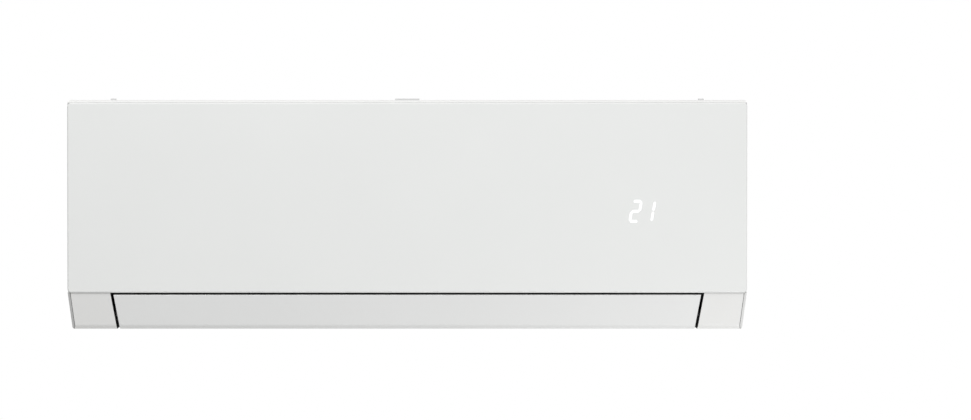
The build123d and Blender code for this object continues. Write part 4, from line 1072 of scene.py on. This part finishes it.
# ---- Fan ----
FAN_Y, FAN_Z, FAN_R = -97.0, -45.0, 47.0
FAN_LEFT, FAN_RIGHT = -350.0, 270.0
RING_INNER = 33.5
BLADE_OUTER, BLADE_INNER = 46.4, 35.2
BLADE_LAG = 9.0  # degrees by which a blade's inner edge trails its outer one
BLADE_BOW = 2.7
BLADE_T, BLADE_EDGE_T = 1.1, 0.12  # at its middle and its edges
BLADE_STEPS = 8
SHAFT_R = 4.0
HUB_R = 12.0
DISC_T = 2.5


def fan_blade(length):
    """One crescent blade at the angle zero, its left end at x = 0."""
    lag = radians(-BLADE_LAG)
    outer, inner = Vector((BLADE_OUTER, 0.0)), Vector((BLADE_INNER * cos(lag), BLADE_INNER * sin(lag)))
    run = inner - outer
    side = Vector((run.y, -run.x)).normalized()
    front, back = [], []
    for step in range(BLADE_STEPS + 1):
        share = step / BLADE_STEPS
        lift = 4 * share * (1 - share)
        front.append(outer + run * share + side * lift * BLADE_BOW)
        back.append(outer + run * share + side * (lift * (BLADE_BOW + BLADE_T) + BLADE_EDGE_T))
    return swept(front + back[::-1], 0.0, length)


def wheel_of_blades(blade, material, segments, blades, left, pitch):
    """Repeats a blade round the axis and along it; each segment is turned against the last."""
    tree = Repeater(
        "fan_blades", Material=material, Blades=blades, Total=segments * blades, Left=left, Pitch=pitch,
        Segment_turn=radians(2.2), Unevenness=radians(0.8), Centre=(0.0, FAN_Y * MM, FAN_Z * MM), Seed=11,
    )
    points = tree.add("GeometryNodePoints", {}, [("Count", tree.given("Total"))])
    number = tree.add("GeometryNodeInputIndex").outputs["Index"]
    middle = tree.math("ADD", number, 0.5)  # keeps the division off whole numbers
    segment = tree.math("FLOOR", tree.math("DIVIDE", middle, tree.given("Blades")))
    within = tree.math("SUBTRACT", number, tree.math("MULTIPLY", segment, tree.given("Blades")))
    share = tree.math("DIVIDE", tree.math("MULTIPLY", within, 2 * pi), tree.given("Blades"))
    uneven = tree.random(0.0, tree.given("Unevenness"), [("ID", within)])
    turn = tree.math("ADD", share, tree.math("MULTIPLY", segment, tree.given("Segment_turn")))
    turn = tree.math("ADD", turn, uneven)
    along = tree.math("ADD", tree.given("Left"), tree.math("MULTIPLY", segment, tree.given("Pitch")))
    place = tree.add(
        "ShaderNodeVectorMath", {"operation": "ADD"},
        [(0, tree.along("X", along)), (1, tree.given("Centre"))],
    )
    moved = tree.add(
        "GeometryNodeSetPosition", {},
        [("Geometry", points.outputs["Points"]), ("Position", place.outputs["Vector"])],
    )
    tree.end(tree.copies(moved.outputs["Geometry"], tree.along("X", turn)))
    return tree.run("fan_blades", blade)


def joined_shape(shapes):
    """One shape from several; each is used up."""
    whole = bmesh.new()
    for shape in shapes:
        absorb(whole, shape)
    return whole


def disc_rim(x):
    """Profile points round the rim of an end disc that starts at x."""
    return (x, FAN_R - 0.5), (x + 0.5, FAN_R), (x + DISC_T - 0.5, FAN_R), (x + DISC_T, FAN_R - 0.5)


class UNIT_OT_fan(bpy.types.Operator):
    """Cross-flow fan: curved blades in welded segments between thin rings, with hub and shafts."""

    bl_idname = "unit.fan"
    bl_label = "Cross-flow fan"

    def execute(self, context):
        sizes = context.scene.unit_sizes
        pitch = (FAN_RIGHT - FAN_LEFT) / sizes.fan_segments
        blades = wheel_of_blades(
            fan_blade(pitch), FINISHES["fan_black"], sizes.fan_segments, sizes.fan_blades, FAN_LEFT * MM,
            pitch * MM,
        )
        rings = []
        for number in range(1, sizes.fan_segments):
            x = FAN_LEFT + number * pitch
            rings.append(turned([
                (x - 0.8, RING_INNER), (x + 0.8, RING_INNER), (x + 1.0, RING_INNER + 0.5),
                (x + 1.0, FAN_R - 0.4), (x + 0.5, FAN_R), (x - 0.5, FAN_R), (x - 1.0, FAN_R - 0.4),
                (x - 1.0, RING_INNER + 0.5),
            ], FAN_Y, FAN_Z, 64))
        boss = FAN_LEFT + DISC_T + 5
        rings.append(turned([
            (FAN_LEFT, 0.0), *disc_rim(FAN_LEFT), (FAN_LEFT + DISC_T, 12.0), (boss, 10.0), (boss, 0.0),
        ], FAN_Y, FAN_Z, 64))
        rings.append(turned([
            (FAN_RIGHT, HUB_R), *disc_rim(FAN_RIGHT), (FAN_RIGHT + DISC_T, HUB_R),
        ], FAN_Y, FAN_Z, 64))
        discs = to_mesh("fan_discs", joined_shape(rings))
        discs.materials.append(FINISHES["fan_black"])
        wheel = join_meshes("fan_wheel_bladed", [blades, discs])
        place_piece("fan_wheel_bladed", wheel, "fan_wheel", crease=40.0)
        hub = turned([
            (FAN_RIGHT - 22, SHAFT_R), (FAN_RIGHT - 22, HUB_R - 1.5), (FAN_RIGHT - 20.5, HUB_R),
            (FAN_RIGHT + 2.0, HUB_R), (FAN_RIGHT + 2.5, HUB_R - 0.6), (FAN_RIGHT + 2.5, HUB_R - 2.4),
            (FAN_RIGHT + 1.3, HUB_R - 3.2), (FAN_RIGHT + 1.3, SHAFT_R + 1.4),
            (FAN_RIGHT + 2.5, SHAFT_R + 0.9), (FAN_RIGHT + 2.5, SHAFT_R),
        ], FAN_Y, FAN_Z)
        place_piece("fan_hub_rubber", to_mesh("fan_hub_rubber", hub), "fan_hub")
        for name, x0, x1 in (
            ("fan_stub", FAN_LEFT - 16, FAN_LEFT), ("motor_shaft", FAN_RIGHT - 18, MOTOR_RIGHT + 3),
        ):
            shaft = turned([
                (x0, 0.0), (x0, SHAFT_R - 0.5), (x0 + 0.5, SHAFT_R), (x1 - 0.5, SHAFT_R), (x1, SHAFT_R - 0.5),
                (x1, 0.0),
            ], FAN_Y, FAN_Z, 32)
            place_piece(f"{name}_turned", to_mesh(f"{name}_turned", shaft), name)
        return {"FINISHED"}


# ---- Motors and bearing ----
MOTOR_LEFT, MOTOR_RIGHT = 283.0, 345.0
MOTOR_R = 39.0
RING_T = 2.0
RING_W = 6.0
BOSS_R = 13.0
RING_SHRINK = 0.9915  # keeps a round ring inside the solids' flat-sided one
BEARING_SEAT_R = 14.0
BUSH_R = 7.5
BORE_GAP = 0.06


class UNIT_OT_motor(bpy.types.Operator):
    """Fan motor in its rubber rings under the strap, and the left bearing in its holder."""

    bl_idname = "unit.motor"
    bl_label = "Fan motor and bearing"

    def execute(self, context):
        can_r = MOTOR_R - RING_T
        left, right = MOTOR_LEFT + 8, MOTOR_RIGHT - 8
        middle = (left + right) / 2
        can = turned([
            (MOTOR_LEFT, SHAFT_R + BORE_GAP), (MOTOR_LEFT, BOSS_R - 1.0), (MOTOR_LEFT + 1.0, BOSS_R - 0.3),
            (left, BOSS_R - 0.3), (left, can_r - 6.5), (left + 0.6, can_r - 4.2), (left + 2.2, can_r - 1.9),
            (left + 4.4, can_r - 0.5), (left + 6.0, can_r - 0.1), (middle - 1.6, can_r - 0.1),
            (middle - 1.4, can_r - 0.5), (middle + 1.4, can_r - 0.5), (middle + 1.6, can_r - 0.1),
            (right - 6.0, can_r - 0.1), (right - 4.4, can_r - 0.5), (right - 2.2, can_r - 1.9),
            (right - 0.6, can_r - 4.2), (right, can_r - 6.5), (right, BOSS_R - 0.3),
            (MOTOR_RIGHT - 1.0, BOSS_R - 0.3), (MOTOR_RIGHT, BOSS_R - 1.0),
            (MOTOR_RIGHT, SHAFT_R + BORE_GAP),
        ], FAN_Y, FAN_Z, 72)
        place_piece("fan_motor_can", to_mesh("fan_motor_can", can), "fan_motor")
        rings = []
        for x in (MOTOR_LEFT + 14, MOTOR_RIGHT - 20):
            outer, inner = MOTOR_R * RING_SHRINK, can_r
            rings.append(turned([
                (x, inner), (x, outer - 0.5), (x + 0.5, outer), (x + RING_W / 2 - 0.6, outer),
                (x + RING_W / 2, outer - 0.5), (x + RING_W / 2 + 0.6, outer), (x + RING_W - 0.5, outer),
                (x + RING_W, outer - 0.5), (x + RING_W, inner),
            ], FAN_Y, FAN_Z, 72))
        place_piece("motor_rings_rubber", to_mesh("motor_rings_rubber", joined_shape(rings)), "motor_rings")
        moulded("motor_strap", STRAP_EDGE)
        bush = turned([
            (FAN_LEFT - 16, SHAFT_R + BORE_GAP), (FAN_LEFT - 16, BUSH_R - 0.9),
            (FAN_LEFT - 15.4, BUSH_R - 0.1), (FAN_LEFT - 4.6, BUSH_R - 0.1), (FAN_LEFT - 4, BUSH_R - 0.9),
            (FAN_LEFT - 4, SHAFT_R + BORE_GAP),
        ], FAN_Y, FAN_Z)
        place_piece("fan_bearing_turned", to_mesh("fan_bearing_turned", bush), "fan_bearing")
        seat, inner = BEARING_SEAT_R - 0.15, BUSH_R - 0.05
        holder = turned([
            (FAN_LEFT - 16, inner), (FAN_LEFT - 16, seat + 1.8), (FAN_LEFT - 15, seat + 2.8),
            (FAN_LEFT - 6.6, seat + 2.8), (FAN_LEFT - 6.0, seat + 2.4), (FAN_LEFT - 6.0, seat),
            (FAN_LEFT - 3.6, seat), (FAN_LEFT - 3, seat - 0.6), (FAN_LEFT - 3, inner + 2.4),
            (FAN_LEFT - 4.2, inner + 1.4), (FAN_LEFT - 4.2, inner),
        ], FAN_Y, FAN_Z)
        place_piece("bearing_holder_rubber", to_mesh("bearing_holder_rubber", holder), "bearing_holder")
        return {"FINISHED"}


# ---- Filters and inlet ----
STRAND_R = 0.19
NET_START_X, NET_START_Y = 0.5, 0.6  # first strands' distances from the frame
WEAVE_HIGH = 1.32 * STRAND_R  # how far a woven strand goes over and under the others


def net(name, low, high, pitch):
    """Filter net: straight strands one way, woven over and under the strands across."""
    x0, y0, x1, y1 = low[0] / MM, low[1] / MM, high[0] / MM, high[1] / MM
    z = (low[2] + high[2]) / 2 / MM
    step = pitch / MM
    finish = FINISHES["filter_net"]
    strand = swept(arc(y0 + NET_START_Y, z, STRAND_R, 0, 300, 5), x0, x1)
    count = int((y1 - y0 - NET_START_Y) / step)
    rows = row_of(f"{name}_rows", strand, finish, count, (0.0, pitch, 0.0))
    points = []
    for number in range(int((y1 - y0) / step) * 2 + 1):
        quarter = number - 0.5
        y = y0 + NET_START_Y + quarter * step / 2
        if y0 <= y <= y1:
            points.append((x0 + NET_START_X, y, z + WEAVE_HIGH * cos(pi * quarter / 2)))
    strand = bmesh.new()
    tube(strand, points, STRAND_R, sides=4)
    count = int((x1 - x0 - NET_START_X) / step)
    columns = row_of(f"{name}_columns", strand, finish, count, (pitch, 0.0, 0.0))
    return join_meshes(name, [rows, columns])


class UNIT_OT_filters(bpy.types.Operator):
    """Two lift-out filters, each a frame with a woven net, over the coarse inlet grid."""

    bl_idname = "unit.filters"
    bl_label = "Filters and inlet grid"

    def execute(self, context):
        sizes = context.scene.unit_sizes
        for side in ("left", "right"):
            moulded(f"filter_frame_{side}", sizes.moulded_edge)
            low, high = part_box(f"filter_mesh_{side}")
            woven = net(f"filter_net_{side}", low, high, sizes.net_pitch)
            place_piece(f"filter_net_{side}", woven, f"filter_mesh_{side}")
        moulded("inlet_grid", sizes.moulded_edge)
        return {"FINISHED"}


# ---- Air duct ----
VANES = 10


class UNIT_OT_duct(bpy.types.Operator):
    """Rear chassis with scroll and drain pan, vanes, link bar, crank and swing motor."""

    bl_idname = "unit.duct"
    bl_label = "Chassis, drain pan and vanes"

    def execute(self, context):
        edge = context.scene.unit_sizes.moulded_edge
        for node in ("rear_chassis", "drain_pan", "swing_motor"):
            moulded(node, edge)
        for number in range(1, VANES + 1):
            moulded(f"vane_{number:02d}", VANE_EDGE)
        moulded("link_bar", FINE_EDGE)
        moulded("swing_crank", CRANK_EDGE)
        return {"FINISHED"}


# ---- Wall plate ----
class UNIT_OT_wall_plate(bpy.types.Operator):
    """Pressed wall plate with its hooks."""

    bl_idname = "unit.wall_plate"
    bl_label = "Wall plate"

    def execute(self, context):
        moulded("wall_plate", SHEET_EDGE)
        return {"FINISHED"}


# ---- Screws ----
SCREW_XS = (-300.0, 0.0, 240.0)
SCREW_Y, SCREW_SEAT = -62.0, -139.1
SCREW_R, SCREW_HEAD_R, SCREW_HEAD_H = 1.3, 3.6, 2.0
SCREW_LONG, SCREW_PITCH = 19.0, 1.27
SCREW_ROOT = 0.78  # radius of the thread's root as a share of its crest's
SCREW_SIDES = 32


def ring_of(shape, radius, z, rise=0.0):
    """Corners round the Z axis, in millimetres, that climb by rise in one turn."""
    turns = [i / SCREW_SIDES for i in range(SCREW_SIDES)]
    return [
        shape.verts.new((
            radius * MM * cos(2 * pi * turn), radius * MM * sin(2 * pi * turn), (z + rise * turn) * MM,
        ))
        for turn in turns
    ]


def skin(shape, first, second):
    """Faces between two closed runs of corners."""
    for i in range(len(first)):
        j = (i + 1) % len(first)
        shape.faces.new((first[i], first[j], second[j], second[i]))


def loop_edges(shape, corners):
    """Edges of a closed run of corners."""
    return [shape.edges.get(pair) for pair in zip(corners, corners[1:] + corners[:1])]


def cross_head_screw(radius, length, head_r, head_h, pitch):
    """Pan-head screw up +Z with its seat at z = 0, a cross recess below and a helical thread."""
    head = bmesh.new()
    rings = [
        ring_of(head, r, z)
        for r, z in (
            (radius, 0.0), (head_r - 0.1, 0.0), (head_r, -0.15), (head_r - 0.1, -head_h * 0.45),
            (head_r * 0.78, -head_h * 0.85), (head_r * 0.5, -head_h),
        )
    ]
    for first, second in zip(rings, rings[1:]):
        skin(head, first, second)
    arm, half = head_r * 0.42, head_r * 0.12
    cross = [
        (half, arm), (-half, arm), (-half, half), (-arm, half), (-arm, -half), (-half, -half), (-half, -arm),
        (half, -arm), (half, -half), (arm, -half), (arm, half), (half, half),
    ]
    top = [head.verts.new((x * MM, y * MM, -head_h * MM)) for x, y in cross]
    floor = [head.verts.new((x * 0.55 * MM, y * 0.55 * MM, -head_h * 0.25 * MM)) for x, y in cross]
    skin(head, top, floor)
    head.faces.new(floor)
    edges = loop_edges(head, rings[-1]) + loop_edges(head, top)
    bmesh.ops.triangle_fill(head, use_beauty=True, use_dissolve=False, edges=edges)
    helix = [rings[0]]
    for index in range(int((length - 1.0) / pitch) * 2 + 1):
        r = radius if index % 2 else radius * SCREW_ROOT
        helix.append(ring_of(head, r, 0.4 + index * pitch / 2, rise=pitch))
    for first, second in zip(helix, helix[1:]):
        for i in range(SCREW_SIDES):
            j = (i + 1) % SCREW_SIDES
            head.faces.new((first[i], second[i], second[j], first[j]))
    tip = head.verts.new((0.0, 0.0, length * MM))
    for i in range(SCREW_SIDES):
        head.faces.new((helix[-1][i], tip, helix[-1][(i + 1) % SCREW_SIDES]))
    bmesh.ops.recalc_face_normals(head, faces=head.faces)
    return head


class UNIT_OT_screws(bpy.types.Operator):
    """Three cross-head screws that fix the casing from below."""

    bl_idname = "unit.screws"
    bl_label = "Casing screws"

    def execute(self, context):
        tree = Repeater(
            "screws", Material=FINISHES["steel"], Turn=radians(70.0), Seed=3,
            First=(SCREW_XS[0] * MM, SCREW_Y * MM, SCREW_SEAT * MM),
            Second=(SCREW_XS[1] * MM, SCREW_Y * MM, SCREW_SEAT * MM),
            Third=(SCREW_XS[2] * MM, SCREW_Y * MM, SCREW_SEAT * MM),
        )
        spots = []
        for label in ("First", "Second", "Third"):
            spot = tree.add("GeometryNodePoints", {}, [("Count", 1), ("Position", tree.given(label))])
            spots.append(spot.outputs[0])
        gathered = tree.add("GeometryNodeJoinGeometry")
        for spot in spots:
            tree.tree.links.new(spot, gathered.inputs[0])
        turn = tree.along("Z", tree.random(0.0, tree.given("Turn")))
        tree.end(tree.copies(gathered.outputs["Geometry"], turn))
        blank = cross_head_screw(SCREW_R, SCREW_LONG, SCREW_HEAD_R, SCREW_HEAD_H, SCREW_PITCH)
        place_piece("casing_screws_cut", tree.run("casing_screws_cut", blank), "casing_screws", crease=30.0)
        return {"FINISHED"}


# ---- Electrical parts ----
BOX_LOW = -42.0
BOARD_FRONT = -154.0
CAPACITOR_X, CAPACITOR_Z, CAPACITOR_R, CAPACITOR_HIGH = 324.0, 84.0, 9.0, 24.0
BLOCKS = (  # relays and filter coil: x from and to, z from and to, height over the board
    (342, 362, 70, 90, 16), (370, 400, 62, 96, 22), (312, 330, 20, 50, 14),
)
SOCKETS = ((340, 400, 16, 26, 9), (340, 400, 34, 44, 9), (352, 396, -8, 4, 12))  # likewise
SOCKET_WALL = 1.2
PIN_ROWS = (("plug_pins", 21.0), ("sensor_pins", 39.0))  # name and height z of each row
PIN_X, PIN_PITCH, PINS = 342.2, 2.5, 23
PIN_WIDE, PIN_HIGH = 0.7, 0.8
CLAMP_X, CLAMP_PITCH, CLAMPS = 322.2, 16.4, 5
FLAP_MOTOR_Y, FLAP_MOTOR_Z = -156.0, -121.5
FLAP_SHAFT_Y, FLAP_SHAFT_Z = -160.0, -128.0


def stand_on_board(profile, x, y, z, sides):
    """A shape turned about a line forward from (x, y, z); the profile is (distance, radius)."""
    made = turned(profile, 0.0, 0.0, sides)
    place = Matrix.Translation((x * MM, y * MM, z * MM)) @ Matrix.Rotation(radians(-90), 4, "Z")
    bmesh.ops.transform(made, verts=made.verts, matrix=place)
    return made


def capacitor(x, z, radius, tall):
    """Can capacitor on the board with its crimped neck and scored vent."""
    return stand_on_board([
        (0.0, 0.0), (0.0, radius - 0.3), (1.6, radius), (2.4, radius - 0.7), (3.2, radius),
        (tall - 0.8, radius), (tall, radius - 0.8), (tall, radius - 1.6), (tall - 0.35, radius - 1.8),
        (tall - 0.35, 0.0),
    ], x, BOARD_FRONT, z, 32)


def plug_socket(shape, x0, x1, z0, z1, deep):
    """Adds an open plug socket on the board: its base and the four walls in front of it."""
    base, front = BOARD_FRONT - deep * 0.5, BOARD_FRONT - deep
    slab(shape, (x0, BOARD_FRONT - deep * 0.55, z0), (x1, BOARD_FRONT, z1), 0.4)
    slab(shape, (x0, front, z0), (x1, base, z0 + SOCKET_WALL), 0.3)
    slab(shape, (x0, front, z1 - SOCKET_WALL), (x1, base, z1), 0.3)
    slab(shape, (x0, front, z0 + 1), (x0 + SOCKET_WALL, base, z1 - 1), 0.3)
    slab(shape, (x1 - SOCKET_WALL, front, z0 + 1), (x1, base, z1 - 1), 0.3)


class UNIT_OT_electrics(bpy.types.Operator):
    """Electrical box with its board, components, terminal strip, button, switch and flap motor."""

    bl_idname = "unit.electrics"
    bl_label = "Electrical parts"

    def execute(self, context):
        edge = context.scene.unit_sizes.moulded_edge
        for node in ("electric_box", "terminal_block", "manual_button", "button_switch"):
            moulded(node, edge)
        moulded("control_board", BOARD_EDGE)
        shape = bmesh.new()
        absorb(shape, capacitor(CAPACITOR_X, CAPACITOR_Z, CAPACITOR_R, CAPACITOR_HIGH))
        for x0, x1, z0, z1, deep in BLOCKS:
            slab(shape, (x0, BOARD_FRONT - deep, z0), (x1, BOARD_FRONT, z1), 0.7)
        for socket in SOCKETS:
            plug_socket(shape, *socket)
        place_piece("board_components_built", to_mesh("board_components_built", shape), "board_components")
        pins = []
        for name, z in PIN_ROWS:
            pin = bmesh.new()
            low = (PIN_X, BOARD_FRONT - 8.4, z - PIN_HIGH / 2)
            slab(pin, low, (PIN_X + PIN_WIDE, BOARD_FRONT - 4.6, z + PIN_HIGH / 2), 0.1)
            pins.append(row_of(name, pin, FINISHES["steel"], PINS, (PIN_PITCH * MM, 0.0, 0.0)))
        add_piece("board_pins", join_meshes("board_pins", pins), "chassis", "steel")
        clamp = bmesh.new()
        slab(clamp, (CLAMP_X, -176.6, BOX_LOW + 6), (CLAMP_X + 10, -174.9, BOX_LOW + 18), 0.3)
        screw_head = [(0.0, 0.0), (0.0, 3.4), (1.2, 3.4), (1.9, 2.6), (1.9, 0.0)]
        absorb(clamp, stand_on_board(screw_head, CLAMP_X + 5, -176.5, BOX_LOW + 12, 20))
        step = (CLAMP_PITCH * MM, 0.0, 0.0)
        clamps = row_of("terminal_clamps", clamp, FINISHES["steel"], CLAMPS, step)
        add_piece("terminal_clamps", clamps, "chassis", "steel")
        motor = turned([
            (398.0, 0.0), (398.0, 12.4), (397.0, 13.4), (384.4, 13.4), (384.0, 13.9), (380.2, 13.9),
            (379.5, 13.2), (379.5, 2.8),
        ], FLAP_MOTOR_Y, FLAP_MOTOR_Z, 56)
        place_piece("flap_motor_can", to_mesh("flap_motor_can", motor), "flap_motor")
        shaft = turned([
            (357.0, 0.0), (357.0, 2.1), (357.4, 2.5), (379.0, 2.5), (379.4, 2.1), (379.4, 0.0),
        ], FLAP_SHAFT_Y, FLAP_SHAFT_Z, 28)
        place_piece("flap_motor_shaft_turned", to_mesh("flap_motor_shaft_turned", shaft), "flap_motor_shaft")
        return {"FINISHED"}


# ---- Stage ----
PHOTO_WIDE = 971
PIXEL = 1.2717 * MM  # one pixel of the photograph, at the unit's front
UNIT_OFF_X, UNIT_OFF_Y = 78.25, 4.9  # from the unit's middle to the picture's, in those pixels
CAMERA_DISTANCE = 6.0
CAMERA_HEIGHT = 0.145
SENSOR_WIDE = 36.0
ROOM_LEFT, ROOM_RIGHT = 0.20, 0.58  # brightness of the surroundings from either side
FLOOR_Z = -4.2
FLOOR_HALF = 12.0
FLOOR_GLOW = 0.24
MIDDLE = (0.0, -0.2, 0.0)
LAMPS = {  # place, what it is aimed at, its width and height, and its watts
    "key": ((1.1, -2.3, 2.5), MIDDLE, (1.8, 1.2), 41.6),
    "fill": ((-1.2, -2.3, 2.4), MIDDLE, (1.8, 1.2), 50.0),
    "low_right": ((0.75, -0.55, -0.95), (0.25, -0.2, -0.12), (0.5, 0.3), 4.4),
}


def area_light(name, place, aim, size, watts):
    """A soft rectangular lamp, aimed at a point."""
    lamp = bpy.data.lights.new(name, "AREA")
    lamp.shape = "RECTANGLE"
    lamp.size, lamp.size_y = size
    lamp.energy = watts
    holder = bpy.data.objects.new(name, lamp)
    holder.location = place
    holder.rotation_euler = (Vector(aim) - Vector(place)).to_track_quat("-Z", "Y").to_euler()
    bpy.context.scene.collection.objects.link(holder)


def place_camera(scene):
    """Camera as high as the unit's top, looking down to its middle and framed as in the photograph."""
    camera = bpy.data.cameras.new("camera")
    camera.sensor_width = SENSOR_WIDE
    camera.lens = SENSOR_WIDE * CAMERA_DISTANCE / (PHOTO_WIDE * PIXEL)
    camera.shift_x = UNIT_OFF_X / PHOTO_WIDE
    camera.shift_y = UNIT_OFF_Y / PHOTO_WIDE
    camera.clip_end = 100.0
    holder = bpy.data.objects.new("camera", camera)
    holder.location = (0.0, FRONT_Y - CAMERA_DISTANCE, CAMERA_HEIGHT)
    holder.rotation_euler = (radians(90) - atan2(CAMERA_HEIGHT, CAMERA_DISTANCE), 0.0, 0.0)
    scene.collection.objects.link(holder)
    scene.camera = holder


def surround(scene):
    """White to the camera and through clear parts; as light, darker on the left than on the right."""
    world = bpy.data.worlds.new("surroundings")
    world.use_nodes = True
    scene.world = world
    nodes, links = world.node_tree.nodes, world.node_tree.links
    background = next(node for node in nodes if node.type == "BACKGROUND")
    path = nodes.new("ShaderNodeLightPath")
    seen = nodes.new("ShaderNodeMath")
    seen.operation = "ADD"
    seen.use_clamp = True
    links.new(path.outputs["Is Camera Ray"], seen.inputs[0])
    links.new(path.outputs["Is Transmission Ray"], seen.inputs[1])
    direction = nodes.new("ShaderNodeTexCoord")
    parts = nodes.new("ShaderNodeSeparateXYZ")
    links.new(direction.outputs["Generated"], parts.inputs[0])
    room = nodes.new("ShaderNodeMapRange")
    room.inputs["From Min"].default_value = -1.0
    room.inputs["From Max"].default_value = 1.0
    room.inputs["To Min"].default_value = ROOM_LEFT
    room.inputs["To Max"].default_value = ROOM_RIGHT
    links.new(parts.outputs["X"], room.inputs["Value"])
    level = nodes.new("ShaderNodeMapRange")
    level.inputs["To Max"].default_value = 1.0
    links.new(seen.outputs[0], level.inputs["Value"])
    links.new(room.outputs["Result"], level.inputs["To Min"])
    background.inputs["Color"].default_value = (1.0, 1.0, 1.0, 1.0)
    links.new(level.outputs["Result"], background.inputs["Strength"])


def lay_floor(scene):
    """Pale floor far below the unit, which belongs to the stage and not to the unit."""
    shape = bmesh.new()
    shape.faces.new([
        shape.verts.new((x * FLOOR_HALF, y * FLOOR_HALF, FLOOR_Z))
        for x, y in ((-1, -1), (1, -1), (1, 1), (-1, 1))
    ])
    floor = bpy.data.objects.new("floor", to_mesh("floor", shape))
    pale = Finish("pale_floor")
    pale.set(
        Base_Color=pale.mix(pale.noise(scale=3.0, detail=2.0), (0.80, 0.80, 0.79), (0.86, 0.86, 0.85)),
        Roughness=0.85, Emission_Color=(1.0, 1.0, 1.0, 1.0), Emission_Strength=FLOOR_GLOW,
    )
    floor.data.materials.append(pale.material)
    scene.collection.objects.link(floor)


class UNIT_OT_stage(bpy.types.Operator):
    """Camera, soft lamps, white surroundings and a pale floor."""

    bl_idname = "unit.stage"
    bl_label = "Stage"

    def execute(self, context):
        scene = context.scene
        scene.view_settings.view_transform = "Standard"
        place_camera(scene)
        surround(scene)
        for name, lamp in LAMPS.items():
            area_light(name, *lamp)
        lay_floor(scene)
        return {"FINISHED"}


PIECES = (
    UNIT_OT_front_panel, UNIT_OT_casing, UNIT_OT_flap, UNIT_OT_display, UNIT_OT_fins, UNIT_OT_bends,
    UNIT_OT_pipes, UNIT_OT_fan, UNIT_OT_motor, UNIT_OT_filters, UNIT_OT_duct, UNIT_OT_wall_plate,
    UNIT_OT_screws, UNIT_OT_electrics,
)


class UNIT_PT_pieces(bpy.types.Panel):
    """Lists the unit's pieces, its sizes and its colours."""

    bl_idname = "UNIT_PT_pieces"
    bl_label = "Indoor unit"
    bl_space_type = "VIEW_3D"
    bl_region_type = "UI"
    bl_category = "Indoor unit"

    def draw(self, context):
        for operator in PIECES:
            self.layout.operator(operator.bl_idname)
        self.layout.operator(UNIT_OT_stage.bl_idname)
        for group in (context.scene.unit_sizes, context.scene.unit_colours):
            for name in group.bl_rna.properties.keys():
                if name not in ("rna_type", "name"):
                    self.layout.prop(group, name)


CLASSES = (UnitColours, UnitSizes, *PIECES, UNIT_OT_stage, UNIT_PT_pieces)


def register():
    for item in CLASSES:
        bpy.utils.register_class(item)
    bpy.types.Scene.unit_colours = bpy.props.PointerProperty(type=UnitColours)
    bpy.types.Scene.unit_sizes = bpy.props.PointerProperty(type=UnitSizes)


def unregister():
    del bpy.types.Scene.unit_sizes
    del bpy.types.Scene.unit_colours
    for item in reversed(CLASSES):
        bpy.utils.unregister_class(item)


def main():
    """Builds every piece and the stage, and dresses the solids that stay."""
    register()
    make_finishes(bpy.context.scene.unit_colours)
    for operator in PIECES:
        getattr(bpy.ops.unit, operator.bl_idname.split(".")[1])()
    for node, item in frame["nodes"].items():
        if not item.hide_render:
            dress_node(node)
    bpy.ops.unit.stage()


if __name__ == "__main__":
    main()
